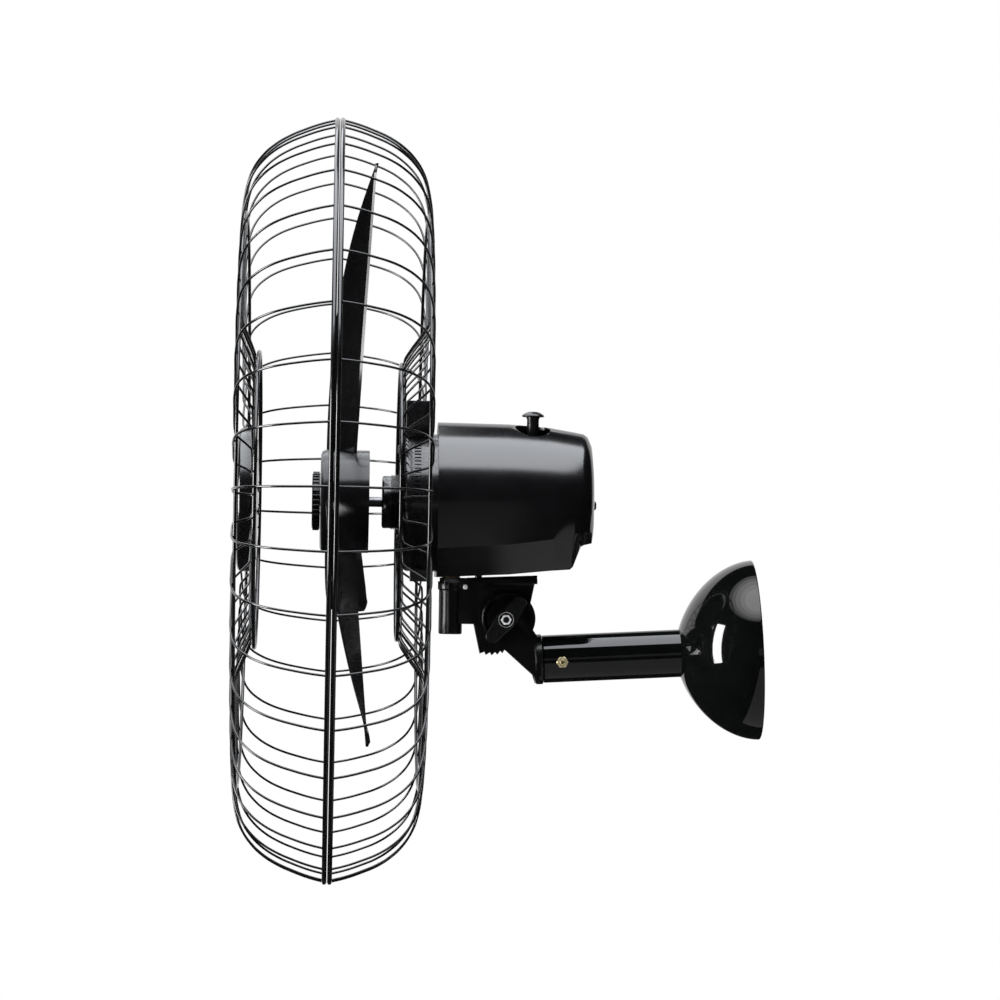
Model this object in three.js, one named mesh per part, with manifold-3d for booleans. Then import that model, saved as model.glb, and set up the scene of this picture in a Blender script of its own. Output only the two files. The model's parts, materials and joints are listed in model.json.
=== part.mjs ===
// Wall mounted fan with an oscillating head, in millimetres, +Z up.
// The origin is the centre of the wall plate's back face, on the wall, which is the plane Y = 0.
// The fan faces -Y. The head is drawn in its own frame, tilted about the tilt bolt: x runs across,
// y runs back along the motor shaft from the plane of the cage's rim, and z runs up.
import * as THREE from 'three';
import { mergeVertices } from 'three/addons/utils/BufferGeometryUtils.js';
import Module from 'manifold-3d';

const wasm = await Module();
wasm.setup();

// ---------------------------------------------------------------- driving dimensions
const GAP = 0.3; // between two pieces that touch

// wall end and arm
const PLATE_RADIUS = 60;
const PLATE_THICK = 5;
const WALL_SCREW_CIRCLE = 48;
const WALL_SCREW_RADIUS = 3;
const DOME_RADIUS = 72;
const DOME_DEPTH = 64;
const DOME_WALL = 1.2;
const DOME_POWER = 1.8; // of the superellipse that the dome's profile follows
const TUBE_RADIUS = 19.05;
const TUBE_WALL = 2;
const TUBE_FRONT = -171.3;
const CROSS_BOLT_Y = -156.6;
const CROSS_BOLT_Z = -2.6;
const COLLAR_RADIUS = 20;
const COLLAR_FRONT = -178;

// tilt joint
const PIVOT_Y = -200;
const PIVOT_Z = 33;
const REST_TILT = 3.4; // degrees that the nose points up
const CHEEK_INNER = 10;
const CHEEK_OUTER = 14.5;
const TILT_BOLT_RADIUS = 2.4;
const TILT_KNOB_LENGTH = 45;
const TILT_KNOB_WIDTH = 12;
const TILT_KNOB_ANGLE = 48.6; // degrees from level, in the side view

// head frame, measured from the centre of the cage's rim
const PIVOT_BACK = 138.8;
const PIVOT_DOWN = 92.2;
const PAN_Y = 95; // the upright axis that the head turns on
const PLATE_TOP = -57.6; // top of the neck's plate
const PLATE_BOTTOM = -63.5;
const BARREL_RADIUS = 9.45;
const BARREL_BOTTOM = -104.6;
const STEM_RADIUS = 6;
const POST_REACH = 22; // from the pan axis to the link's post

// cage
const WIRES = 40;
const FIRST_WIRE = 7.82; // degrees from the top, towards +X
const WIRE_HALF = 1;
const RIM_RADIUS = 303.6;
const RIM_WIRE = 2;
const MID_RING_RADIUS = 229;
const MID_HOOP_FRONT = -72.8;
const MID_HOOP_BACK = 71.4;
const MID_HOOP_WIRE = 1.4;
const CORNER_HOOP_WIRE = 1.8;
// centre line of a wire: radius, then depth from the plane of the rim
const FRONT_LINE = [
  [RIM_RADIUS, 2.2], [296.5, 27], [285, 50], [264, 69], [236, 75.6], [142, 76], [117, 64], [52, 64],
];
const REAR_LINE = [
  [RIM_RADIUS, 2.2], [296.5, 27], [285, 49.4], [264, 67.6], [236, 74.2], [143, 74.6], [113, 54.5], [52, 54.5],
];
const BADGE_RADIUS = 57.3;
const BADGE_FRONT = -77.6;
const BADGE_BACK = -65.3;

// impeller
const BLADES = 3;
const FIRST_BLADE = 12.5; // degrees from the top, towards +X, at the tip
const BLADE_SWEEP = 17.2; // degrees that the tip stands ahead of the root
const BLADE_BOW = 10.2; // degrees that the middle of a blade bows ahead of the line between them
const BLADE_TIP = 272;
const BLADE_ROOT_WIDTH = 36;
const BLADE_WIDTH = 74; // where a blade is widest
const BLADE_WIDEST = 0.28; // and how far out that is, as a share of its length
const BLADE_TIP_WIDTH = 18;
const LEAD_ROOT = 17.9; // depths of the two edges, behind the rim's plane
const LEAD_TIP = 29.6;
const TRAIL_ROOT = -4.9;
const TRAIL_TIP = 33.1;
const BLADE_CAMBER = 1.5;
const BLADE_THICK = 2.4;
const HUB_RADIUS = 41;
const HUB_FRONT = -10.6;
const HUB_BACK = 28.2;
const SPINNER_RADIUS = 23.5;
const SPINNER_FRONT = -17.2;
const SHAFT_RADIUS = 4;
const SHAFT_BACK = 176;

// motor
const NOSE_RADIUS = 22;
const NOSE_FRONT = 38.6;
const COVER_FACE = 56;
const COVER_RADIUS = 55;
const COVER_WALL = 2.5;
const HOUSING_FRONT = 82.3;
const HOUSING_WALL = 2.5;
const STATOR_RADIUS = 44;
const STATOR_FRONT = 88;
const STATOR_BACK = 118;
const ROTOR_RADIUS = 24;

// oscillation gearbox, behind the motor
const CLUTCH_X = 16; // axis of the worm wheel and of the pull knob
const CLUTCH_Y = 157.7;
const WHEEL_RADIUS = 9.4;
const WORM_RADIUS = 6.2;
const OUTPUT_X = -8; // axis of the output gear and the crank
const OUTPUT_Y = 162.6;
const OUTPUT_RADIUS = 18.8;
const CRANK_THROW = 14;
const CASE_FRONT = 139;
const CASE_BACK = 186;
const CASE_HALF_WIDTH = 33;
const CASE_TOP = 16;
const CASE_BOTTOM = -44;
const CASE_WALL = 2.5;
const KNOB_TOP = 74;
const KNOB_RADIUS = 9;

// ---------------------------------------------------------------- geometry helpers
const { degToRad } = THREE.MathUtils;

/** One closed body: shared corners merged, empty triangles dropped, faces pointing out. */
function tidy(geometry) {
  const bare = geometry.clone();
  bare.deleteAttribute('normal');
  bare.deleteAttribute('uv');
  const merged = mergeVertices(bare);
  const at = merged.attributes.position;
  const [a, b, c] = [new THREE.Vector3(), new THREE.Vector3(), new THREE.Vector3()];
  const kept = [];
  let volume = 0;
  for (let i = 0; i < merged.index.count; i += 3) {
    const [p, q, r] = [0, 1, 2].map((k) => merged.index.getX(i + k));
    if (p === q || q === r || r === p) continue;
    kept.push(p, q, r);
    a.fromBufferAttribute(at, p);
    b.fromBufferAttribute(at, q);
    c.fromBufferAttribute(at, r);
    volume += a.dot(b.cross(c));
  }
  merged.setIndex(volume < 0 ? kept.reverse() : kept);
  return merged;
}

function solidOf(geometry) {
  const closed = tidy(geometry);
  return new wasm.Manifold(new wasm.Mesh({
    numProp: 3,
    vertProperties: new Float32Array(closed.attributes.position.array),
    triVerts: new Uint32Array(closed.index.array),
  }));
}

function geometryOf(solid) {
  const mesh = solid.getMesh();
  const geometry = new THREE.BufferGeometry();
  geometry.setAttribute('position', new THREE.BufferAttribute(new Float32Array(mesh.vertProperties), 3));
  geometry.setIndex(new THREE.BufferAttribute(new Uint32Array(mesh.triVerts), 1));
  return geometry;
}

function join(...parts) {
  return geometryOf(parts.map(solidOf).reduce((whole, part) => whole.add(part)));
}

function cut(body, ...tools) {
  return geometryOf(tools.map(solidOf).reduce((rest, tool) => rest.subtract(tool), solidOf(body)));
}

/** A solid of revolution about Y. The profile lists radius and y, and closes on itself. */
function turned(profile, segments = 20) {
  const points = profile.map(([radius, y]) => new THREE.Vector2(radius, y));
  points.push(points[0].clone());
  return tidy(new THREE.LatheGeometry(points, segments));
}

function ring(inner, outer, from, to, segments = 20) {
  return turned([[inner, from], [outer, from], [outer, to], [inner, to]], segments);
}

/** A plain rod along an axis, from one coordinate to the other, through the given centre. */
function rod(axis, radius, from, to, centre = [0, 0], sides = 12) {
  const bar = new THREE.CylinderGeometry(radius, radius, to - from, sides);
  const middle = (from + to) / 2;
  if (axis === 'x') return bar.rotateZ(-Math.PI / 2).translate(middle, centre[0], centre[1]);
  if (axis === 'y') return bar.translate(centre[0], middle, centre[1]);
  return bar.rotateX(Math.PI / 2).translate(centre[0], centre[1], middle);
}

function box([x0, x1], [y0, y1], [z0, z1]) {
  const block = new THREE.BoxGeometry(x1 - x0, y1 - y0, z1 - z0);
  return block.translate((x0 + x1) / 2, (y0 + y1) / 2, (z0 + z1) / 2);
}

function outline(points) {
  return new THREE.Shape(points.map(([x, y]) => new THREE.Vector2(x, y)));
}

/** A shape drawn in the side view, y then z, made thick from x0 to x1. */
function sidePlate(shape, x0, x1, curveSegments = 16) {
  const options = { depth: x1 - x0, bevelEnabled: false, curveSegments };
  const turn = new THREE.Matrix4().makeBasis(
    new THREE.Vector3(0, 1, 0), new THREE.Vector3(0, 0, 1), new THREE.Vector3(1, 0, 0),
  );
  return new THREE.ExtrudeGeometry(shape, options).applyMatrix4(turn).translate(x0, 0, 0);
}

/** A shape drawn in plan, x then y, made thick from z0 to z1. */
function planPlate(shape, z0, z1, curveSegments = 16) {
  const options = { depth: z1 - z0, bevelEnabled: false, curveSegments };
  return new THREE.ExtrudeGeometry(shape, options).translate(0, 0, z0);
}

/** A closed skin over rings of points that all have the same number of points, with its ends
 * closed by a strip from one side of the ring to the other. */
function loft(rings) {
  const count = rings[0].length;
  const index = [];
  for (let r = 0; r < rings.length - 1; r += 1) {
    for (let k = 0; k < count; k += 1) {
      const [a, b] = [r * count + k, r * count + ((k + 1) % count)];
      index.push(a, b, a + count, b, b + count, a + count);
    }
  }
  const last = (rings.length - 1) * count;
  for (let i = 0, j = count - 1; i + 1 < j; i += 1, j -= 1) {
    index.push(j, i + 1, i, last + i, last + i + 1, last + j);
    if (i + 1 < j - 1) index.push(j, j - 1, i + 1, last + i + 1, last + j - 1, last + j);
  }
  const geometry = new THREE.BufferGeometry();
  geometry.setAttribute('position', new THREE.Float32BufferAttribute(rings.flat(2), 3));
  geometry.setIndex(index);
  return tidy(geometry);
}

/** A toothed outline in plan, about the origin. */
function toothed(teeth, root, tip, bore, centre = [0, 0]) {
  const points = [];
  for (let i = 0; i < teeth; i += 1) {
    [[0, root], [0.3, tip], [0.55, tip], [0.85, root]].forEach(([share, radius]) => {
      const angle = ((i + share) / teeth) * 2 * Math.PI;
      points.push([centre[0] + radius * Math.cos(angle), centre[1] + radius * Math.sin(angle)]);
    });
  }
  const shape = outline(points);
  if (bore > 0) shape.holes.push(new THREE.Path().absarc(...centre, bore, 0, 2 * Math.PI, true));
  return shape;
}

function hexagon(axis, acrossCorners, from, to, centre, bore = 0) {
  const nut = rod(axis, acrossCorners, from, to, centre, 6);
  return bore > 0 ? cut(nut, rod(axis, bore, from - 1, to + 1, centre, 16)) : tidy(nut);
}

function paint(color, roughness, metalness = 0) {
  return new THREE.MeshStandardMaterial({ color, roughness, metalness });
}

function piece(group, name, geometry, material) {
  const mesh = new THREE.Mesh(tidy(geometry), material);
  mesh.name = name;
  group.add(mesh);
}

const finishes = {
  glossBlack: () => paint('#08080a', 0.18),
  satinBlack: () => paint('#101014', 0.42),
  castBlack: () => paint('#0c0c0e', 0.38),
  blackWire: () => paint('#0b0b0d', 0.3, 0.3),
  bladeBlack: () => paint('#060607', 0.16),
  zinc: () => paint('#c9c9c4', 0.3, 1),
  brassZinc: () => paint('#c8b478', 0.32, 1),
  steel: () => paint('#9a9da1', 0.32, 1),
  bronze: () => paint('#9c7440', 0.4, 1),
  copper: () => paint('#a4572c', 0.42, 0.8),
  laminate: () => paint('#6d7075', 0.5, 0.9),
  aluminium: () => paint('#a5a8ab', 0.5, 0.9),
  nylon: () => paint('#e6e2d6', 0.5),
  whitePlastic: () => paint('#dcdcd8', 0.5),
};

// ---------------------------------------------------------------- wall end and arm
const fan = new THREE.Group();

function wallEnd() {
  const socket = TUBE_RADIUS - TUBE_WALL - GAP;
  const socketFront = -45;
  const screwY = -30;
  const plate = join(
    rod('y', PLATE_RADIUS, -PLATE_THICK, 0, [0, 0], 32),
    ring(12, socket, socketFront, -PLATE_THICK + 1),
  );
  const holes = [];
  const cableHole = rod('y', 6, -PLATE_THICK - 1, 1, [-34, -20]);
  for (let i = 0; i < 3; i += 1) {
    const angle = degToRad(90 + 120 * i);
    const at = [WALL_SCREW_CIRCLE * Math.cos(angle), WALL_SCREW_CIRCLE * Math.sin(angle)];
    holes.push(rod('y', WALL_SCREW_RADIUS + GAP, -PLATE_THICK - 1, 1, at, 12));
    const shank = rod('y', WALL_SCREW_RADIUS, -PLATE_THICK - 2, -GAP, at, 12);
    const head = rod('y', 5.8, -PLATE_THICK - GAP - 4, -PLATE_THICK - GAP, at, 6);
    piece(fan, `wall_screw_${i + 1}`, join(shank, head), finishes.zinc());
  }
  const tapHole = rod('x', 2.3, 9, TUBE_RADIUS, [screwY, 0], 16);
  piece(fan, 'wall_plate', cut(plate, cableHole, tapHole, ...holes), finishes.castBlack());

  const screw = join(
    rod('x', 2, 13.5, TUBE_RADIUS + 2, [screwY, 0], 16),
    rod('x', 4, TUBE_RADIUS + GAP, TUBE_RADIUS + 3, [screwY, 0], 16),
  );
  piece(fan, 'tube_screw', screw, finishes.zinc());

  const terminal = box([-14, 14], [-18, -PLATE_THICK - GAP], [-50, -37]);
  const wells = [-8, 0, 8].map((x) => rod('z', 2, -41, -36, [x, -12], 12));
  piece(fan, 'terminal_block', cut(terminal, ...wells), finishes.whitePlastic());
}

function domeDepth(radius, rim, depth) {
  return depth * (1 - (radius / rim) ** DOME_POWER) ** (1 / DOME_POWER);
}

function wallDome() {
  const hole = TUBE_RADIUS + GAP;
  const lip = 0.4;
  const skin = (rim, depth, steps) => {
    const points = [[rim, -lip]];
    for (let i = 1; i <= steps; i += 1) {
      const radius = hole + (rim - hole) * Math.cos((Math.PI / 2) * (i / steps));
      points.push([radius, -lip - domeDepth(radius, rim, depth)]);
    }
    return points;
  };
  const outside = skin(DOME_RADIUS, DOME_DEPTH, 6);
  const inside = skin(DOME_RADIUS - DOME_WALL, DOME_DEPTH - DOME_WALL, 3).reverse();
  piece(fan, 'wall_dome', turned([...outside, ...inside], 36), finishes.glossBlack());
}

function arm() {
  const wallGap = -PLATE_THICK - GAP;
  const tube = ring(TUBE_RADIUS - TUBE_WALL, TUBE_RADIUS, TUBE_FRONT, wallGap, 28);
  const crossHole = rod('x', 2.7, -30, 30, [CROSS_BOLT_Y, CROSS_BOLT_Z], 16);
  const screwHole = rod('x', 2.3, 10, 30, [-30, 0], 16);
  piece(fan, 'arm_tube', cut(tube, crossHole, screwHole), finishes.glossBlack());

  const spigot = ring(12, TUBE_RADIUS - TUBE_WALL - GAP, COLLAR_FRONT + 2, -138);
  const collar = rod('y', COLLAR_RADIUS, COLLAR_FRONT, TUBE_FRONT - GAP, [0, 0], 32);
  const strap = outline([
    [-186.5, 37], [-176.4, 20.2], [-175, 17], [-175, -18], [-177.7, -19.5],
    [-179.7, -12.5], [-193.3, 0.9], [-200.9, 8.4], [-210, 20],
  ]);
  const eye = new THREE.Shape().absarc(PIVOT_Y, PIVOT_Z, 15, 0, 2 * Math.PI);
  const cheeks = [[CHEEK_INNER, CHEEK_OUTER], [-CHEEK_OUTER, -CHEEK_INNER]].flatMap(
    ([x0, x1]) => [sidePlate(strap, x0, x1), sidePlate(eye, x0, x1, 8)],
  );
  const boltHole = rod('x', TILT_BOLT_RADIUS + GAP, -30, 30, [PIVOT_Y, PIVOT_Z], 16);
  const yoke = cut(join(spigot, collar, ...cheeks), crossHole, boltHole);
  piece(fan, 'yoke_arm', yoke, finishes.castBlack());

  const at = [CROSS_BOLT_Y, CROSS_BOLT_Z];
  const nutX = TUBE_RADIUS + GAP;
  const bolt = join(rod('x', 2.4, -nutX - 1, 23, at, 16), rod('x', 4.8, -nutX - 3.2, -nutX, at, 6));
  piece(fan, 'arm_bolt', bolt, finishes.brassZinc());
  piece(fan, 'arm_nut', hexagon('x', 4.8, nutX, nutX + 3.2, at, 2.7), finishes.brassZinc());
}

// ---------------------------------------------------------------- tilt bolt and wing knob
function tiltClamp() {
  const at = [PIVOT_Y, PIVOT_Z];
  const knobIn = CHEEK_OUTER + GAP;
  const knobOut = knobIn + 8.7;
  const recess = knobOut - 3.4;
  const bolt = join(
    rod('x', TILT_BOLT_RADIUS, -CHEEK_OUTER - 2, knobOut, at, 16),
    rod('x', 5, -CHEEK_OUTER - GAP - 3.6, -CHEEK_OUTER - GAP, at, 6),
  );
  piece(fan, 'tilt_bolt', bolt, finishes.zinc());

  const half = TILT_KNOB_WIDTH / 2;
  const reach = TILT_KNOB_LENGTH / 2 - half;
  const lobe = new THREE.Shape();
  lobe.absarc(reach, 0, half, -Math.PI / 2, Math.PI / 2);
  lobe.absarc(-reach, 0, half, Math.PI / 2, (3 * Math.PI) / 2);
  const wings = sidePlate(lobe, knobIn, knobOut, 6);
  const boss = rod('x', half + 2, knobIn, knobOut, [0, 0], 16);
  const knob = cut(
    join(wings, boss),
    rod('x', TILT_BOLT_RADIUS + GAP, 0, 40, [0, 0], 16),
    rod('x', half, recess, 40, [0, 0], 14),
  );
  knob.rotateX(degToRad(TILT_KNOB_ANGLE)).translate(0, PIVOT_Y, PIVOT_Z);
  piece(fan, 'tilt_knob', knob, finishes.satinBlack());
  const nut = hexagon('x', 4.1, recess + GAP, knobOut + 0.4, at, TILT_BOLT_RADIUS + GAP);
  piece(fan, 'tilt_nut', nut, finishes.zinc());
}

// ---------------------------------------------------------------- neck
const tilting = new THREE.Group();
tilting.position.set(0, PIVOT_Y, PIVOT_Z);
tilting.rotation.x = -degToRad(REST_TILT);
fan.add(tilting);
const head = new THREE.Group();
head.position.set(0, -PIVOT_BACK, PIVOT_DOWN);
tilting.add(head);

function toothedEdge() {
  const teeth = 5;
  const [start, end] = [236, 272];
  const points = [];
  for (let i = 0; i <= teeth * 2; i += 1) {
    const angle = degToRad(start + ((end - start) * i) / (teeth * 2));
    const radius = i % 2 === 0 ? 29.5 : 27.4;
    points.push([PIVOT_BACK + radius * Math.cos(angle), -PIVOT_DOWN + radius * Math.sin(angle)]);
  }
  return points;
}

function neck() {
  const deck = outline([
    [-9, PAN_Y - 5.2], [-5.2, PAN_Y - 9], [5.2, PAN_Y - 9], [9, PAN_Y - 5.2],
    [14, PAN_Y + 8], [14, 163.6], [-14, 163.6], [-14, PAN_Y + 8],
  ]);
  const web = outline([
    [99, -62], [99, -96.3], [113.6, -96.3], ...toothedEdge(),
    [146, -104], [156.5, -86], [158.9, -77.9], [162, -62],
  ]);
  const disc = new THREE.Shape().absarc(PIVOT_BACK + 2.5, -PIVOT_DOWN + 0.8, 21.5, 0, 2 * Math.PI);
  const body = join(
    planPlate(deck, PLATE_BOTTOM, PLATE_TOP),
    rod('z', 10.4, PLATE_BOTTOM - 6, PLATE_BOTTOM + 1, [0, PAN_Y], 20),
    rod('z', BARREL_RADIUS, BARREL_BOTTOM, PLATE_BOTTOM - 5, [0, PAN_Y], 20),
    sidePlate(web, -7, 7),
    sidePlate(disc, 0.5 - CHEEK_INNER, CHEEK_INNER - 0.5, 12),
  );
  const bore = rod('z', STEM_RADIUS + 1.6, -120, -50, [0, PAN_Y], 16);
  const postHole = rod('z', 3.1, -70, -50, [0, PAN_Y + POST_REACH], 16);
  const boltHole = rod('x', TILT_BOLT_RADIUS + GAP, -30, 30, [PIVOT_BACK, -PIVOT_DOWN], 16);
  piece(head, 'neck_casting', cut(body, bore, postHole, boltHole), finishes.castBlack());

  const bush = ring(STEM_RADIUS + GAP, STEM_RADIUS + 1.3, BARREL_BOTTOM + 0.6, PLATE_TOP - 0.4, 16);
  piece(head, 'pan_bush', bush.rotateX(Math.PI / 2).translate(0, PAN_Y, 0), finishes.bronze());
  const post = rod('z', 2.8, PLATE_BOTTOM + 0.3, -49.2, [0, PAN_Y + POST_REACH], 16);
  piece(head, 'link_post', post, finishes.steel());
  const screw = rod('x', 2.6, 7 + GAP, 9.4, [106.3, -66.6], 16);
  piece(head, 'neck_screw', screw, finishes.zinc());
}

// ---------------------------------------------------------------- motor
/** The housing's section: a round top, upright sides to the crease, then a tuck to a flat bottom. */
function housingRing(y, top, half, crease, bottom, foot) {
  const steps = 7;
  const points = [];
  for (let i = 0; i <= steps * 2; i += 1) {
    const angle = (Math.PI * i) / (steps * 2);
    points.push([half * Math.cos(angle), y, top * Math.sin(angle)]);
  }
  points.push([-0.985 * half, y, crease], [-foot, y, bottom], [foot, y, bottom], [0.985 * half, y, crease]);
  return points;
}

function housing() {
  const stations = [
    [HOUSING_FRONT, 64.6, 61, -36.5, -57.3, 44],
    [139.4, 64, 60.5, -32.5, -55.2, 42],
    [171.5, 61.9, 58, -28, -52.7, 39],
    [189, 59, 54.5, -23.5, -51.4, 36],
    [197.2, 57.6, 52.5, -22, -32.4, 36],
    [200.5, 55.4, 50, -21.5, -31.2, 36],
    [204.2, 48.6, 43.6, -20, -30.3, 32],
    [206.8, 28, 25.5, -14, -20, 18],
    [208.3, 9, 9, -7, -10, 6],
  ];
  const outer = loft(stations.map((station) => housingRing(...station)));
  const wall = HOUSING_WALL;
  const inner = loft(stations.slice(0, 6).map(([y, top, half, crease, bottom, foot], i) => {
    const shifted = i === 0 ? y + wall : y - (i > 3 ? wall + 1 : wall * 0.6);
    return housingRing(shifted, top - wall, half - wall, crease, bottom + wall, foot - 1.5);
  }));
  const slot = new THREE.Shape();
  const swing = degToRad(52);
  slot.absarc(0, PAN_Y, POST_REACH + 3.6, Math.PI / 2 - swing, Math.PI / 2 + swing, false);
  slot.absarc(0, PAN_Y, POST_REACH - 3.6, Math.PI / 2 + swing, Math.PI / 2 - swing, true);
  const shell = cut(
    outer,
    inner,
    rod('y', COVER_RADIUS + 0.4, HOUSING_FRONT - 5, HOUSING_FRONT + 5, [0, 0], 40),
    rod('z', 14, 30, 80, [CLUTCH_X, CLUTCH_Y], 24),
    rod('z', STEM_RADIUS + 1, -70, -45, [0, PAN_Y], 20),
    planPlate(slot, -70, -45, 10),
    rod('y', 2.3, 195, 215, [0, 0], 12),
  );
  piece(head, 'motor_housing', shell, finishes.satinBlack());
  const screw = join(rod('y', 2, 200, 209, [0, 0], 12), rod('y', 3.6, 208.6, 210.6, [0, 0], 16));
  piece(head, 'housing_screw', screw, finishes.steel());
}

function frontCover() {
  const thread = [];
  const pitch = 3.2;
  for (let y = NOSE_FRONT + 1; y < COVER_FACE - pitch; y += pitch) {
    thread.push([NOSE_RADIUS - 1.2, y], [NOSE_RADIUS, y + pitch / 2]);
  }
  const skirt = HOUSING_FRONT + 3.5;
  const cup = turned([
    [5, NOSE_FRONT], [NOSE_RADIUS - 2, NOSE_FRONT], ...thread, [NOSE_RADIUS - 1.2, COVER_FACE],
    [COVER_RADIUS - 2, COVER_FACE], [COVER_RADIUS, COVER_FACE + 2], [COVER_RADIUS, skirt],
    [COVER_RADIUS - COVER_WALL, skirt], [COVER_RADIUS - COVER_WALL, COVER_FACE + 3],
    [5, COVER_FACE + 3],
  ], 28);
  const foot = box([-13, 13], [62, 80], [-63, -50]);
  const vents = [];
  for (let i = 0; i < 5; i += 1) {
    const vent = box([-2, 2], [63, 77], [48, 60]);
    vents.push(vent.rotateY(degToRad(46 + 22 * i)), vent.clone().rotateY(Math.PI));
  }
  const taps = screwPlaces().map((at) => rod('y', 2.3, COVER_FACE - 1, COVER_FACE + 5, at, 12));
  piece(head, 'front_cover', cut(join(cup, foot), ...vents, ...taps), finishes.satinBlack());
}

/** Where the three screws hold the rear cage to the front cover. */
function screwPlaces() {
  return [0, 135, 225].map((turn) => {
    const angle = degToRad(turn);
    return [42 * Math.sin(angle), 42 * Math.cos(angle)];
  });
}

function capacitorBox() {
  const shell = cut(
    box([-20, 20], [COVER_FACE + 0.8, 78], [45, 81]),
    rod('y', COVER_RADIUS + GAP, 50, 85, [0, 0], 48),
    box([-18, 18], [COVER_FACE + 2.8, 80], [57.5, 79]),
  );
  piece(head, 'capacitor_box', shell, finishes.satinBlack());
  const can = box([-17, 17], [COVER_FACE + 3.2, 77.5], [58, 78.6]);
  piece(head, 'capacitor', can, finishes.whitePlastic());
}

function motor() {
  const shell = STATOR_RADIUS;
  piece(head, 'stator_core', ring(ROTOR_RADIUS + 0.6, shell, STATOR_FRONT, STATOR_BACK), finishes.laminate());
  const coil = (from, to) => turned([
    [28, from + 2], [31, from], [37, from], [40, from + 2], [40, to], [28, to],
  ]);
  piece(head, 'front_winding', coil(STATOR_FRONT - 9, STATOR_FRONT - GAP), finishes.copper());
  piece(head, 'rear_winding', coil(STATOR_BACK + GAP, STATOR_BACK + 9), finishes.copper());

  const bell = (face, back, rim) => turned([
    [10, face], [shell - 2, face], [shell, face + Math.sign(rim - face) * 2], [shell, rim],
    [shell - 3, rim], [shell - 3, back], [14, back], [14, back + (back - face) * 1.2],
    [10, back + (back - face) * 1.2],
  ]);
  const frontBell = bell(71, 74, STATOR_FRONT - GAP);
  const rearBell = bell(135, 132, STATOR_BACK + GAP);
  piece(head, 'front_end_bell', frontBell, finishes.aluminium());
  piece(head, 'rear_end_bell', rearBell, finishes.aluminium());
  const bearing = (from, to) => ring(SHAFT_RADIUS + GAP, 9.7, from, to, 16);
  piece(head, 'front_bearing', bearing(71.5, 77), finishes.bronze());
  piece(head, 'rear_bearing', bearing(129, 134.5), finishes.bronze());

  // a saddle under the stator with the upright stem that the head turns on
  const saddle = cut(
    box([-18, 18], [82, 108], [-48, -30]),
    rod('y', shell + GAP, 70, 120, [0, 0], 48),
  );
  const stem = rod('z', STEM_RADIUS, BARREL_BOTTOM + 0.4, -46, [0, PAN_Y], 24);
  piece(head, 'pan_stem', join(saddle, stem), finishes.steel());
}

// ---------------------------------------------------------------- oscillation
function gearCase() {
  const wall = CASE_WALL;
  const shell = cut(
    box([-CASE_HALF_WIDTH, CASE_HALF_WIDTH], [CASE_FRONT, CASE_BACK], [CASE_BOTTOM + wall + GAP, CASE_TOP]),
    box(
      [wall - CASE_HALF_WIDTH, CASE_HALF_WIDTH - wall],
      [CASE_FRONT + wall, CASE_BACK - wall],
      [CASE_BOTTOM - 1, CASE_TOP - wall],
    ),
    rod('y', SHAFT_RADIUS + 0.8, CASE_FRONT - 1, CASE_FRONT + 5, [0, 0], 20),
    rod('z', 3.8, 0, 30, [CLUTCH_X, CLUTCH_Y], 16),
  );
  piece(head, 'gear_case', shell, finishes.aluminium());
  const lid = cut(
    box([-CASE_HALF_WIDTH, CASE_HALF_WIDTH], [CASE_FRONT, CASE_BACK], [CASE_BOTTOM, CASE_BOTTOM + wall]),
    rod('z', 4.5, -60, -30, [OUTPUT_X, OUTPUT_Y], 20),
  );
  piece(head, 'gear_case_lid', lid, finishes.aluminium());
}

function gears() {
  const thread = [];
  const [from, to] = [150, 166];
  for (let y = from + 1; y < to - 2; y += 3) {
    thread.push([5, y], [WORM_RADIUS, y + 1], [WORM_RADIUS, y + 1.8]);
  }
  const worm = turned([
    [SHAFT_RADIUS + GAP, from], [5, from], ...thread, [5, to], [SHAFT_RADIUS + GAP, to],
  ], 10);
  piece(head, 'worm', worm, finishes.steel());

  const place = [CLUTCH_X, CLUTCH_Y];
  const bore = rod('z', 3.5, -40, 40, place, 12);
  const wheel = planPlate(toothed(14, 8.2, WHEEL_RADIUS, 0, place), -4, 4);
  const pinion = planPlate(toothed(8, 4.6, 5.2, 0, place), -14.5, -3);
  piece(head, 'worm_wheel', cut(join(wheel, pinion), bore), finishes.nylon());

  const centre = [OUTPUT_X, OUTPUT_Y];
  const gear = planPlate(toothed(20, 17.4, OUTPUT_RADIUS, 0, centre), -14, -7.5);
  const spindle = rod('z', 4, CASE_BOTTOM - 1, -8, centre, 16);
  piece(head, 'output_gear', join(gear, spindle), finishes.nylon());

  const disc = rod('z', CRANK_THROW + 3.5, CASE_BOTTOM - 1.6, CASE_BOTTOM - GAP, centre, 28);
  const socket = rod('z', 4 + GAP, -60, -30, centre, 20);
  const pin = rod('z', 2.2, CASE_BOTTOM - 4.6, CASE_BOTTOM - 1, [OUTPUT_X, OUTPUT_Y - CRANK_THROW], 16);
  piece(head, 'crank', join(cut(disc, socket), pin), finishes.steel());
}

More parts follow.
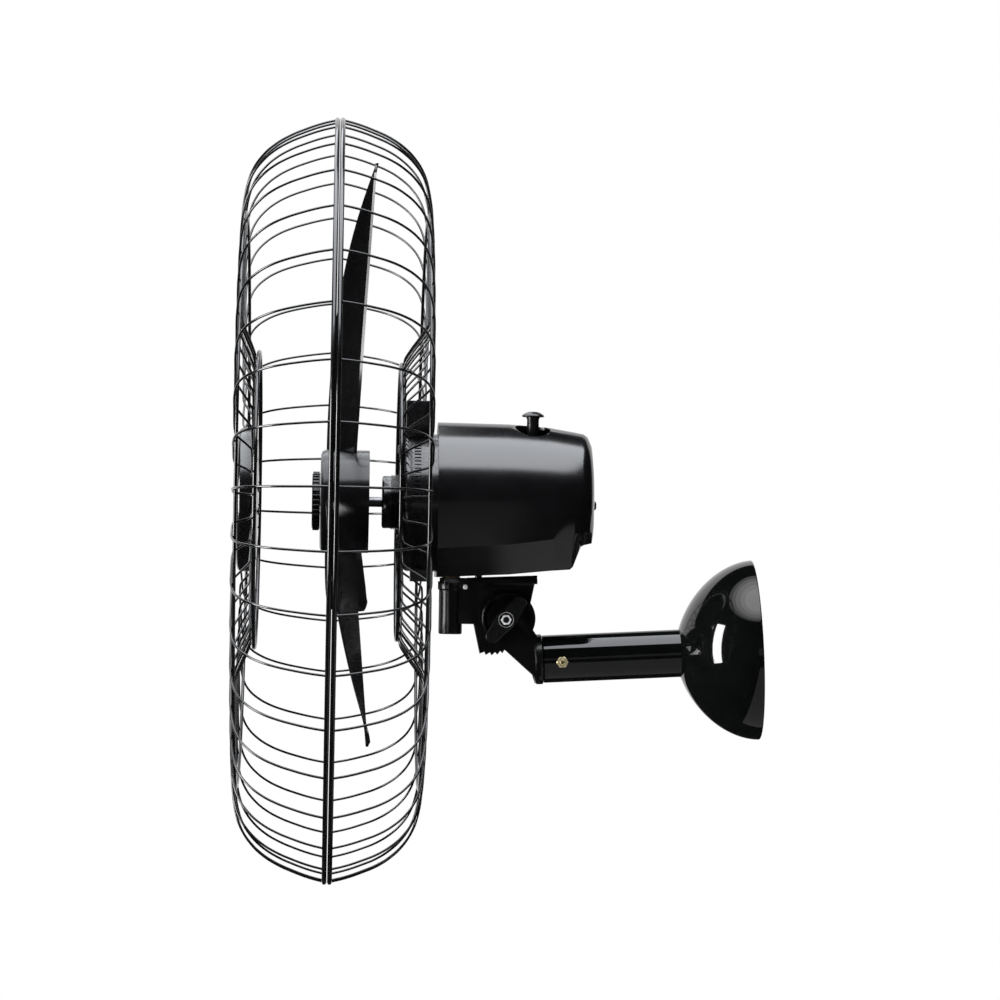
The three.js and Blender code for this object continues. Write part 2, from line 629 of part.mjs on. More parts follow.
/** The flat link from the crank pin to the neck's post. Its far eye hangs just over the post. */
function link() {
  const start = new THREE.Vector2(OUTPUT_X, OUTPUT_Y - CRANK_THROW);
  const end = new THREE.Vector2(0, PAN_Y + POST_REACH);
  const along = end.clone().sub(start).normalize();
  const side = new THREE.Vector2(-along.y, along.x).multiplyScalar(3);
  const corners = [
    start.clone().add(side), end.clone().add(side), end.clone().sub(side), start.clone().sub(side),
  ];
  const [bottom, top] = [CASE_BOTTOM - 4.2, CASE_BOTTOM - 1.9];
  const eye = (at) => rod('z', 4.8, bottom, top, [at.x, at.y], 14);
  const hole = (at) => rod('z', 2.2 + GAP, bottom - 1, top + 1, [at.x, at.y], 10);
  const body = join(planPlate(new THREE.Shape(corners), bottom, top), eye(start), eye(end));
  piece(head, 'link_arm', cut(body, hole(start), hole(end)), finishes.steel());
}

function pullKnob() {
  const at = [CLUTCH_X, CLUTCH_Y];
  const cap = turned([
    [0, KNOB_TOP - 4.5], [KNOB_RADIUS - 1, KNOB_TOP - 4.5], [KNOB_RADIUS, KNOB_TOP - 3.4],
    [KNOB_RADIUS - 3.4, KNOB_TOP - 0.7], [0, KNOB_TOP],
  ]);
  const knob = join(
    cap.rotateX(Math.PI / 2).translate(CLUTCH_X, CLUTCH_Y, 0),
    rod('z', 4.8, 20, KNOB_TOP - 4, at, 20),
    rod('z', 3.1, -3, 21, at, 16),
  );
  piece(head, 'oscillation_knob', knob, finishes.satinBlack());
}

// ---------------------------------------------------------------- impeller
/** A point on a blade: t runs from hub to tip, s from the leading edge to the trailing edge. */
function bladePoint(t, s, turn) {
  const root = HUB_RADIUS + 2 * GAP;
  const radius = root + (BLADE_TIP - root) * t;
  const swell = Math.sin((Math.PI / 2) * Math.min(t / BLADE_WIDEST, 1));
  const taper = Math.max(t - BLADE_WIDEST, 0) / (1 - BLADE_WIDEST);
  const inner = BLADE_ROOT_WIDTH + (BLADE_WIDTH - BLADE_ROOT_WIDTH) * swell;
  const width = inner - (BLADE_WIDTH - BLADE_TIP_WIDTH) * taper ** 1.2;
  const bend = degToRad(BLADE_SWEEP * (t - 1) + BLADE_BOW * t * (1 - t));
  const angle = turn + bend + (width / radius) * (0.5 - s);
  const lead = LEAD_ROOT + (LEAD_TIP - LEAD_ROOT) * t ** 1.1;
  const trail = TRAIL_ROOT + (TRAIL_TIP - TRAIL_ROOT) * t ** 2.2;
  const depth = lead + (trail - lead) * s + BLADE_CAMBER * Math.sin(Math.PI * s) * (1 - 0.6 * t);
  return [radius * Math.sin(angle), depth, radius * Math.cos(angle)];
}

function blade(turn) {
  const radial = [0, 0.08, 0.17, 0.28, 0.4, 0.52, 0.64, 0.75, 0.86, 0.94, 1];
  const across = 6;
  const rings = radial.map((t) => {
    const back = [];
    const front = [];
    for (let k = 0; k <= across; k += 1) {
      const [x, y, z] = bladePoint(t, k / across, turn);
      back.push([x, y, z]);
      front.unshift([x, y - BLADE_THICK, z]);
    }
    return [...back, ...front];
  });
  return loft(rings);
}

function impeller() {
  const bore = SHAFT_RADIUS + GAP;
  const hub = turned([
    [bore, HUB_FRONT], [HUB_RADIUS - 3, HUB_FRONT], [HUB_RADIUS, HUB_FRONT + 3], [HUB_RADIUS, HUB_BACK],
    [HUB_RADIUS - 3, HUB_BACK], [HUB_RADIUS - 3, HUB_FRONT + 6], [11, HUB_FRONT + 6],
    [11, HUB_BACK], [bore, HUB_BACK],
  ], 28);
  piece(head, 'fan_hub', hub, finishes.bladeBlack());
  for (let i = 0; i < BLADES; i += 1) {
    const turn = degToRad(FIRST_BLADE + (360 / BLADES) * i);
    piece(head, `fan_blade_${i + 1}`, blade(turn), finishes.bladeBlack());
  }
  const ribs = toothed(20, SPINNER_RADIUS - 1, SPINNER_RADIUS, 0);
  const back = HUB_FRONT - GAP;
  const grip = planPlate(ribs, 0, back - SPINNER_FRONT).rotateX(-Math.PI / 2).translate(0, SPINNER_FRONT, 0);
  const spinner = cut(grip, rod('y', bore, SPINNER_FRONT + 3, 0, [0, 0], 20));
  piece(head, 'spinner_nut', spinner, finishes.satinBlack());
  const shaft = rod('y', SHAFT_RADIUS, SPINNER_FRONT + 3 + GAP, SHAFT_BACK, [0, 0], 20);
  piece(head, 'motor_shaft', shaft, finishes.steel());
  const core = ring(bore, ROTOR_RADIUS, STATOR_FRONT + 1, STATOR_BACK - 1);
  piece(head, 'rotor_core', core, finishes.laminate());
}

// ---------------------------------------------------------------- cage
/** A hoop that stays clear inside the wires it carries, with a corner midway between every two. */
function hoop(name, radius, y, wire) {
  const turn = degToRad(FIRST_WIRE + 180 / WIRES) - Math.PI / 2;
  const torus = new THREE.TorusGeometry(radius, wire, 4, WIRES);
  piece(head, name, torus.rotateX(Math.PI / 2).rotateY(turn).translate(0, y, 0), finishes.blackWire());
}

/**
 * One half of the cage: a rim, a small inner hoop and the wires between them, all one skin.
 * Each hoop has two corners at every wire, one on each side, and the wire grows out of the
 * narrow face between them.
 */
function halfCage(line, side) {
  const half = WIRE_HALF;
  const last = line.length - 1;
  const corners = [];
  const faces = [];
  const quad = (a, b, c, d) => faces.push(a, b, c, a, c, d);
  // a corner at radius and depth, at one wire's angle, shifted sideways by half a wire
  const place = (radius, depth, wire, edge) => {
    const angle = degToRad(FIRST_WIRE + (360 / WIRES) * wire);
    const [sin, cos] = [Math.sin(angle), Math.cos(angle)];
    const shift = edge * half;
    corners.push([radius * sin + shift * cos, side * depth, radius * cos - shift * sin]);
    return corners.length - 1;
  };
  const [rim, hub] = [line[0][0], line[last][0]];
  const depth = line[last][1];
  const rimTop = GAP / 2 + 2 * RIM_WIRE;
  const rimSection = [
    [rim - half, rimTop], [rim + half, rimTop], [rim + RIM_WIRE, GAP / 2], [rim - RIM_WIRE, GAP / 2],
  ];
  const hubSection = [
    [hub, depth + half], [hub, depth - half], [hub - 3, depth - 1.2], [hub - 3, depth + 1.2],
  ];
  const hoops = [rimSection, hubSection].map((section) => {
    const stations = [];
    for (let i = 0; i < WIRES; i += 1) {
      [-1, 1].forEach((edge) => stations.push(section.map(([r, y]) => place(r, y, i, edge))));
    }
    stations.forEach((here, i) => {
      const next = stations[(i + 1) % stations.length];
      here.forEach((_, k) => {
        const wireFace = k === 0 && i % 2 === 0;
        const m = (k + 1) % 4;
        if (!wireFace) quad(here[k], here[m], next[m], next[k]);
      });
    });
    return stations;
  });
  for (let i = 0; i < WIRES; i += 1) {
    const [[near, far], [hubNear, hubFar]] = hoops.map((stations) => [stations[2 * i], stations[2 * i + 1]]);
    // the four corners of the wire's section run inner near, outer near, outer far, inner far
    let before = [near[0], near[1], far[1], far[0]];
    for (let j = 1; j < last; j += 1) {
      const into = new THREE.Vector2(line[j][0] - line[j - 1][0], line[j][1] - line[j - 1][1]).normalize();
      const out = new THREE.Vector2(line[j + 1][0] - line[j][0], line[j + 1][1] - line[j][1]).normalize();
      const along = into.clone().add(out).normalize();
      const offset = new THREE.Vector2(along.y, -along.x).multiplyScalar(half / along.dot(into));
      const at = (way, edge) => place(line[j][0] + way * offset.x, line[j][1] + way * offset.y, i, edge);
      const here = [at(-1, -1), at(1, -1), at(1, 1), at(-1, 1)];
      here.forEach((_, k) => quad(before[k], before[(k + 1) % 4], here[(k + 1) % 4], here[k]));
      before = here;
    }
    const end = [hubNear[1], hubNear[0], hubFar[0], hubFar[1]];
    end.forEach((_, k) => quad(before[k], before[(k + 1) % 4], end[(k + 1) % 4], end[k]));
  }
  const geometry = new THREE.BufferGeometry();
  geometry.setAttribute('position', new THREE.Float32BufferAttribute(corners.flat(), 3));
  geometry.setIndex(faces);
  return geometry;
}

function cage() {
  piece(head, 'front_grille', halfCage(FRONT_LINE, -1), finishes.blackWire());
  piece(head, 'rear_grille', halfCage(REAR_LINE, 1), finishes.blackWire());
  hoop('front_mid_hoop', MID_RING_RADIUS, MID_HOOP_FRONT, MID_HOOP_WIRE);
  hoop('rear_mid_hoop', MID_RING_RADIUS, MID_HOOP_BACK, MID_HOOP_WIRE);
  hoop('front_corner_hoop', 118, -61.2, CORNER_HOOP_WIRE);
  hoop('rear_corner_hoop', 110, 57.6, CORNER_HOOP_WIRE);

  const disc = ring(NOSE_RADIUS + 1.5, 48.4, 52.9, COVER_FACE - GAP, 28);
  const holes = screwPlaces().map((at) => rod('y', 2.3, 50, 60, at, 10));
  piece(head, 'grille_hub_plate', cut(disc, ...holes), finishes.blackWire());
  screwPlaces().forEach((at, i) => {
    const screw = join(rod('y', 2, 51, 58.4, at, 12), rod('y', 4, 49.8, 52.6, at, 16));
    piece(head, `grille_screw_${i + 1}`, screw, finishes.steel());
  });

  const badge = turned([
    [0, BADGE_FRONT], [BADGE_RADIUS - 6, BADGE_FRONT + 0.4], [BADGE_RADIUS - 1.5, BADGE_FRONT + 2],
    [BADGE_RADIUS, BADGE_FRONT + 4.5], [BADGE_RADIUS, BADGE_BACK], [BADGE_RADIUS - 2.4, BADGE_BACK],
    [BADGE_RADIUS - 2.4, BADGE_FRONT + 4.5], [0, BADGE_FRONT + 3],
  ], 32);
  const bosses = [-9, 9].map((z) => ring(1.3, 3.4, BADGE_FRONT + 2, BADGE_BACK, 10).translate(0, 0, z));
  piece(head, 'badge_cap', join(badge, ...bosses), finishes.satinBlack());
  const plate = cut(
    rod('y', 48, -62.7, -60.7, [0, 0], 24),
    ...[-9, 9].map((z) => rod('y', 1.6, -70, -50, [0, z], 12)),
  );
  piece(head, 'badge_plate', plate, finishes.satinBlack());
  [-9, 9].forEach((z, i) => {
    const screw = join(rod('y', 1, -72, -59, [0, z], 10), rod('y', 3, -60.4, -58.4, [0, z], 14));
    piece(head, `badge_screw_${i + 1}`, screw, finishes.steel());
  });
}

wallEnd();
wallDome();
arm();
tiltClamp();
neck();
housing();
frontCover();
capacitorBox();
motor();
gearCase();
gears();
link();
pullKnob();
impeller();
cage();

export default fan;
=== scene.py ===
"""A wall mounted fan with an oscillating head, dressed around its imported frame.

Shapes are drawn in millimetres, either in the arm's frame, whose origin is the centre of the wall
plate's back, or in the head's frame: x across, y back along the motor shaft from the plane of the
cage's rim, z up. Each is then set in its place in metres.
"""
import bmesh
import bpy
import json
from math import acos, cos, degrees, pi, radians, sin, sqrt
from mathutils import Matrix, Vector


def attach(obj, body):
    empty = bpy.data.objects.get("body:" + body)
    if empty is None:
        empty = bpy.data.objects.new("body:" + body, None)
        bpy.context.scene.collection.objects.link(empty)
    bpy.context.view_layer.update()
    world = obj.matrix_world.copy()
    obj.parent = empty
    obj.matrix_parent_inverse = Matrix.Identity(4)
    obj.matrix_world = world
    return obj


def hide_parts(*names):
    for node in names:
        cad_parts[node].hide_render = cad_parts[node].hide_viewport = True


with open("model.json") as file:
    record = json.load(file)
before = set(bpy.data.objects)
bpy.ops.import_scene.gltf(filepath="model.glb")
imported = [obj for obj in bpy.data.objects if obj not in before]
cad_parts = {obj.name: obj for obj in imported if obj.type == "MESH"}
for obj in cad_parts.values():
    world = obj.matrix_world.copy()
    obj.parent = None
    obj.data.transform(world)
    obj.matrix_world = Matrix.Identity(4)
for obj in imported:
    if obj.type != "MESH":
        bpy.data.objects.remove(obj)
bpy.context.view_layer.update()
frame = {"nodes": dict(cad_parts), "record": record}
nodes = frame["nodes"]
MM = 0.001


# ---------------------------------------------------------------- driving sizes, millimetres
REST_TILT = radians(3.4)
PIVOT = (0, -200, 33)  # of the tilt, in the arm's frame
PIVOT_BACK, PIVOT_DOWN = 138.8, 92.2  # of the tilt, in the head's frame
PAN_Y = 95  # the upright axis that the head turns on, in the head's frame

TO_ARM = Matrix.Scale(MM, 4)
TO_HEAD = (
    TO_ARM
    @ Matrix.Translation(PIVOT)
    @ Matrix.Rotation(-REST_TILT, 4, "X")
    @ Matrix.Translation((0, -PIVOT_BACK, PIVOT_DOWN))
)


def placed(name, data):
    """A new object in the scene."""
    thing = bpy.data.objects.new(name, data)
    bpy.context.scene.collection.objects.link(thing)
    return thing


def filled(node, values):
    """The node after its inputs, by name or place, are set to plain values or linked to sockets."""
    for key, value in values.items():
        if isinstance(value, bpy.types.NodeSocket):
            node.id_data.links.new(value, node.inputs[key])
        else:
            node.inputs[key].default_value = value
    return node


# ---------------------------------------------------------------- camera
PICTURE = 1000  # pixels a side
SENSOR = 36.0
FOCAL_PIXELS = 4140  # lens length over pixel size, from the ellipses of the cage
CAMERA_AT = Vector((3.312, -0.3359, 0.0857))
CAMERA_AIM = Vector((0.0, -0.2, 0.1287))
CAMERA_ROLL = radians(-2.4)


def set_camera():
    """The camera where the photo was taken from."""
    data = bpy.data.cameras.new("camera")
    data.sensor_width = SENSOR
    data.lens = SENSOR * FOCAL_PIXELS / PICTURE
    camera = placed("camera", data)
    turn = (CAMERA_AIM - CAMERA_AT).to_track_quat("-Z", "Y").to_matrix().to_4x4()
    camera.matrix_world = Matrix.Translation(CAMERA_AT) @ turn @ Matrix.Rotation(CAMERA_ROLL, 4, "Z")
    bpy.context.scene.camera = camera


set_camera()


# ---------------------------------------------------------------- light
GLOW_LIGHTS = {f"canopy_glow_{i + 1}": width for i, width in enumerate((2.5, 2.2, 1.9, 1.5, 1.1))}
GLOW_AT = Vector((0.72, -0.12, 1.5))
GLOW_STRENGTH = 2.2  # watts for a disc a metre wide


def soft_light(name, at, aim, width, height, watts, colour=(1, 1, 1), shape="RECTANGLE"):
    """A flat light at one point, turned to another, that the camera doesn't see."""
    data = bpy.data.lights.new(name, "AREA")
    data.shape = shape
    data.size, data.size_y = width, height
    data.energy = watts
    data.color = colour
    lamp = placed(name, data)
    lamp.location = at
    lamp.rotation_euler = (Vector(aim) - Vector(at)).to_track_quat("-Z", "Y").to_euler()
    lamp.visible_camera = False


def choose_receivers(lamp_name, shapes, state):
    """Keeps a light off some pieces, as a flag on a stand would, or lets it fall on them alone."""
    linking = bpy.data.objects[lamp_name].light_linking
    if not linking.receiver_collection:
        linking.receiver_collection = bpy.data.collections.new(f"receivers_of_{lamp_name}")
    chosen = linking.receiver_collection
    for shape in shapes:
        chosen.objects.link(shape)
        chosen.collection_objects[-1].light_linking.link_state = state


def facing_light(name, corner, far_corner, radiance, colour=(1, 1, 1)):
    """A flat light between two corners of an upright or a level rectangle, towards the fan."""
    low, high = Vector(corner), Vector(far_corner)
    middle = (low + high) / 2
    level = low.z == high.z
    width = high.x - low.x if level else high.y - low.y
    height = high.y - low.y if level else high.z - low.z
    towards = Vector((0, 0, -1) if level else (1, 0, 0))
    soft_light(name, middle, middle + towards, width, height, radiance * pi * width * height, colour)


def set_studio():
    """Soft boxes where the photo's reflections put them, and a world that is white to the camera alone."""
    bpy.context.scene.view_settings.view_transform = "Standard"
    middle = (0, -0.25, 0.05)
    cool = (0.92, 0.95, 1)
    soft_light("front_softbox", (0.75, -2.1, 0.35), middle, 0.75, 1.3, 60)
    facing_light("overhead_softbox", (-0.37, -1.3, 1.5), (1.25, 0.7, 1.5), 5.5, cool)
    facing_light("overhead_spill", (-1.62, -1.3, 1.5), (-0.38, -0.15, 1.5), 3.4, cool)
    facing_light("backdrop", (-1.8, -5.2, -0.44), (-1.8, 1.6, 1.5), 0.85)
    soft_light("bounce_from_below", (0.5, 0.35, -0.44), (0.5, 0.35, 1), 1.3, 1.0, 1.3)
    soft_light("canopy_strip", (0.110, -0.25, 0.04), (0.05, -0.06, 0.010), 0.055, 0.19, 0.75)
    for i, (name, width) in enumerate(GLOW_LIGHTS.items()):
        at = GLOW_AT + Vector((0, 0, 0.01 * i))
        soft_light(name, at, at - Vector((0, 0, 1)), width, width, GLOW_STRENGTH * width ** 2, shape="DISK")
    soft_light("blade_edge_card", (3.2, 0.2, 0.2), (0, -0.33, 0.2), 1.6, 1.6, 190)
    soft_light("camera_side_card", (3.3, -0.05, -0.08), (0, -0.15, 0), 0.9, 0.5, 0.3)

    world = bpy.data.worlds.new("studio")
    bpy.context.scene.world = world
    world.use_nodes = True
    tree = world.node_tree
    tree.nodes.clear()
    add = tree.nodes.new
    seen = filled(add("ShaderNodeBackground"), {"Color": (1, 1, 1, 1), "Strength": 1})
    room = filled(add("ShaderNodeBackground"), {"Color": (0.96, 0.98, 1, 1), "Strength": 0.012})
    mix = filled(add("ShaderNodeMixShader"), {
        "Fac": add("ShaderNodeLightPath").outputs["Is Camera Ray"],
        1: room.outputs["Background"], 2: seen.outputs["Background"]})
    filled(add("ShaderNodeOutputWorld"), {"Surface": mix.outputs["Shader"]})


set_studio()


# ---------------------------------------------------------------- finishes
GRAIN_DEPTH = 0.0002
WAVE_PERIOD = 0.314  # metres from line to line of a wave texture at scale 1
FINISHES = {}


def finish(name, colour, roughness, metallic=0.0, cloud=40, grain=1500, bump=0.15, spread=0.06,
           tint=0.25, stretch=(1, 1, 1), specular=0.5):
    """A surface whose colour and gloss drift in soft clouds, with a fine grain raised on it.

    stretch draws the grain out along an axis.
    """
    material = bpy.data.materials.new(name)
    material.use_nodes = True
    add = material.node_tree.nodes.new
    place = add("ShaderNodeTexCoord")
    lay = filled(add("ShaderNodeMapping"), {"Scale": stretch, "Vector": place.outputs["Object"]})

    clouds = filled(add("ShaderNodeTexNoise"), {"Scale": cloud, "Detail": 4, "Vector": lay.outputs["Vector"]})
    ramp = filled(add("ShaderNodeValToRGB"), {"Fac": clouds.outputs["Fac"]})
    for stop, position, shift in zip(ramp.color_ramp.elements, (0.3, 0.7), (-tint, tint)):
        stop.position = position
        stop.color = (*[min(c * (1 + shift), 1) for c in colour], 1)
    gloss = filled(add("ShaderNodeMapRange"), {
        "To Min": max(roughness - spread, 0.02), "To Max": roughness + spread,
        "Value": clouds.outputs["Fac"]})

    grains = filled(add("ShaderNodeTexNoise"), {"Scale": grain, "Detail": 3, "Vector": lay.outputs["Vector"]})
    raised = filled(add("ShaderNodeBump"), {
        "Strength": bump, "Distance": GRAIN_DEPTH, "Height": grains.outputs["Fac"]})
    filled(material.node_tree.nodes["Principled BSDF"], {
        "Base Color": ramp.outputs["Color"], "Roughness": gloss.outputs["Result"],
        "Normal": raised.outputs["Normal"], "Metallic": metallic, "Specular IOR Level": specular})
    FINISHES[name] = material
    return material


def wound(name, colour, roughness, pitch, metallic=0.9):
    """Fine even lines round the shaft: turns of varnished wire, or the edges of thin sheets."""
    made = finish(name, colour, roughness, metallic, grain=900, bump=0.1).node_tree.nodes
    turn = filled(made.new("ShaderNodeMapping"), {
        "Rotation": (REST_TILT, 0, 0), "Vector": made["Texture Coordinate"].outputs["Object"]})
    lines = filled(made.new("ShaderNodeTexWave"), {
        "Scale": WAVE_PERIOD / pitch, "Distortion": 0.4, "Vector": turn.outputs["Vector"]})
    lines.bands_direction = "Y"
    raised = filled(made.new("ShaderNodeBump"), {
        "Strength": 0.6, "Distance": pitch, "Height": lines.outputs["Fac"],
        "Normal": made["Bump"].outputs["Normal"]})
    filled(made["Principled BSDF"], {"Normal": raised.outputs["Normal"]})


finish("gloss_enamel", (0.0022, 0.0024, 0.0024), 0.05, grain=260, bump=0.008, spread=0.012)
finish("satin_casting", (0.0022, 0.0024, 0.0023), 0.25, grain=1100, bump=0.08, spread=0.04, specular=0.45)
finish("housing_plastic", (0.0030, 0.0029, 0.0034), 0.19, grain=2600, bump=0.05, spread=0.03, specular=0.8)
finish("wire_enamel", (0.0030, 0.0030, 0.0034), 0.14, grain=500, bump=0.02, spread=0.04, specular=0.7)
finish("blade_plastic", (0.0024, 0.0024, 0.0028), 0.2, grain=320, bump=0.02, spread=0.03, specular=0.45)
finish("knob_plastic", (0.006, 0.0063, 0.0062), 0.28, grain=2200, bump=0.08)
finish("zinc_fastener", (0.95, 0.95, 0.92), 0.28, 0.15, grain=1400, bump=0.12, tint=0.1)
finish("yellow_zinc_fastener", (0.74, 0.64, 0.38), 0.3, 0.6, cloud=220, grain=1400, bump=0.12)
finish("dark_screw", (0.07, 0.07, 0.075), 0.36, 0.9, grain=1400)
finish("ground_steel", (0.20, 0.205, 0.21), 0.3, 1, stretch=(1, 9, 1), grain=900, bump=0.2, tint=0.12)
finish("bronze", (0.42, 0.27, 0.12), 0.38, 1, grain=1800, bump=0.3)
wound("copper_winding", (0.46, 0.19, 0.08), 0.35, 0.0009)
wound("steel_laminations", (0.26, 0.27, 0.29), 0.45, 0.0005)
finish("cast_aluminium", (0.5, 0.51, 0.53), 0.44, 0.95, grain=700, bump=0.35, tint=0.1)
finish("gear_nylon", (0.76, 0.73, 0.64), 0.48, grain=900, bump=0.08, tint=0.05)
finish("white_plastic", (0.72, 0.72, 0.69), 0.45, bump=0.08, tint=0.04)
SLOTS = {row["node"]: row["material_slot"] for row in frame["record"]["subparts"]}


def dress_frame():
    """Gives every node of the frame the finish of its slot."""
    for name, node in nodes.items():
        node.data.materials.clear()
        node.data.materials.append(FINISHES[SLOTS[name]])


dress_frame()


# ---------------------------------------------------------------- shapes
def solid(verts, faces):
    """A closed shape as an object of its own, its faces turned outwards."""
    mesh = bpy.data.meshes.new("shape")
    mesh.from_pydata([tuple(v) for v in verts], [], faces)
    work = bmesh.new()
    work.from_mesh(mesh)
    bmesh.ops.remove_doubles(work, verts=work.verts, dist=1e-4)
    bmesh.ops.dissolve_degenerate(work, edges=work.edges, dist=1e-5)
    bmesh.ops.recalc_face_normals(work, faces=work.faces)
    work.to_mesh(mesh)
    work.free()
    return placed("shape", mesh)


def moved(shape, *steps):
    """The shape after each matrix in turn."""
    for step in steps:
        shape.data.transform(step)
    return shape


TURNS = {"y": Matrix.Identity(4), "z": Matrix.Rotation(pi / 2, 4, "X"), "x": Matrix.Rotation(-pi / 2, 4, "Z")}


def turned(profile, axis="y", steps=96, at=(0, 0, 0)):
    """A solid of revolution. The closed profile lists radius and place along the axis."""
    verts, faces = [], []
    count = len(profile)
    for i in range(steps):
        angle = 2 * pi * i / steps
        verts += [(r * cos(angle), y, r * sin(angle)) for r, y in profile]
        here, there = i * count, (i + 1) % steps * count
        for k in range(count):
            m = (k + 1) % count
            faces.append((here + k, here + m, there + m, there + k))
    return moved(solid(verts, faces), TURNS[axis], Matrix.Translation(at))


def rod(axis, radius, lo, hi, at=(0, 0, 0), steps=48, soften=0.0):
    """A cylinder between two places on its axis, its edges broken by soften."""
    s = soften
    profile = [(0, lo), (radius - s, lo), (radius, lo + s), (radius, hi - s), (radius - s, hi), (0, hi)]
    return turned(profile, axis, steps, at)


def ring(axis, inner, outer, lo, hi, at=(0, 0, 0), steps=64):
    """A plain tube."""
    return turned([(inner, lo), (outer, lo), (outer, hi), (inner, hi)], axis, steps, at)


def prism(outline, axis, lo, hi):
    """An outline made thick. On x it lists y and z, on y x and z, and on z x and y."""
    place = {
        "x": lambda a, b, depth: (depth, a, b),
        "y": lambda a, b, depth: (a, depth, b),
        "z": lambda a, b, depth: (a, b, depth),
    }[axis]
    count = len(outline)
    verts = [place(a, b, lo) for a, b in outline] + [place(a, b, hi) for a, b in outline]
    faces = [tuple(range(count)), tuple(range(2 * count - 1, count - 1, -1))]
    faces += [(k, (k + 1) % count, (k + 1) % count + count, k + count) for k in range(count)]
    return solid(verts, faces)


def block(x, y, z):
    """A box, from each axis's two ends."""
    return prism([(y[0], z[0]), (y[1], z[0]), (y[1], z[1]), (y[0], z[1])], "x", *x)


def arc(centre, radius, start, end, steps):
    """Points along an arc, its angles in degrees."""
    return [
        (centre[0] + radius * cos(radians(start + (end - start) * i / steps)),
         centre[1] + radius * sin(radians(start + (end - start) * i / steps)))
        for i in range(steps + 1)
    ]


def lofted(rings):
    """A closed skin over rings of as many points each, with flat ends."""
    count = len(rings[0])
    verts = [p for section in rings for p in section]
    faces = [tuple(range(count)), tuple(range(len(verts) - 1, len(verts) - count - 1, -1))]
    for r in range(len(rings) - 1):
        for k in range(count):
            m = (k + 1) % count
            faces.append((r * count + k, r * count + m, (r + 1) * count + m, (r + 1) * count + k))
    return solid(verts, faces)


def applied(shape):
    """The shape's mesh with its modifiers applied. The object goes."""
    bpy.context.view_layer.update()
    graph = bpy.context.evaluated_depsgraph_get()
    mesh = bpy.data.meshes.new_from_object(shape.evaluated_get(graph))
    bpy.data.objects.remove(shape)
    return mesh


def worked(shape, others, how):
    """The shape after a boolean with each of the others, which go."""
    for other in others:
        step = shape.modifiers.new(how, "BOOLEAN")
        step.operation = how
        step.solver = "MANIFOLD"
        step.object = other
    mesh = applied(shape)
    for other in others:
        bpy.data.objects.remove(other)
    return placed("shape", mesh)


def joined(shape, *others):
    """The union of overlapping shapes."""
    return worked(shape, others, "UNION")


def cut(shape, *tools):
    """The shape less the tools."""
    return worked(shape, tools, "DIFFERENCE")


def gathered(*shapes):
    """Several separate shapes as one object."""
    work = bmesh.new()
    for shape in shapes:
        work.from_mesh(shape.data)
        bpy.data.objects.remove(shape)
    mesh = bpy.data.meshes.new("shape")
    work.to_mesh(mesh)
    work.free()
    return placed("shape", mesh)


SHARP = radians(32)  # past this angle an edge is a corner


def settle(shape, name, body, slot, stands_for, bevel=0.0, corner=SHARP):
    """Rounds a finished shape's corners, sets it in its place and hands it to the frame."""
    if bevel > 0:
        work = bmesh.new()
        work.from_mesh(shape.data)
        bmesh.ops.remove_doubles(work, verts=work.verts, dist=0.002)
        bmesh.ops.dissolve_limit(
            work, angle_limit=radians(0.5), verts=work.verts, edges=work.edges, delimit={"NORMAL"})
        work.to_mesh(shape.data)
        work.free()
        soften = shape.modifiers.new("soften", "BEVEL")
        soften.width = bevel
        soften.segments = 2
        soften.limit_method = "ANGLE"
        soften.angle_limit = corner
        soften.miter_outer = "MITER_ARC"
        shape = placed(name, applied(shape))
    mesh = shape.data
    mesh.transform(TO_ARM if body in ("wall_arm", "wing_knob") else TO_HEAD)
    mesh.shade_smooth()
    mesh.set_sharp_from_angle(angle=corner)
    mesh.materials.clear()
    mesh.materials.append(FINISHES[slot])
    shape.name = mesh.name = name
    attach(shape, body)
    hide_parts(*stands_for)
    return shape


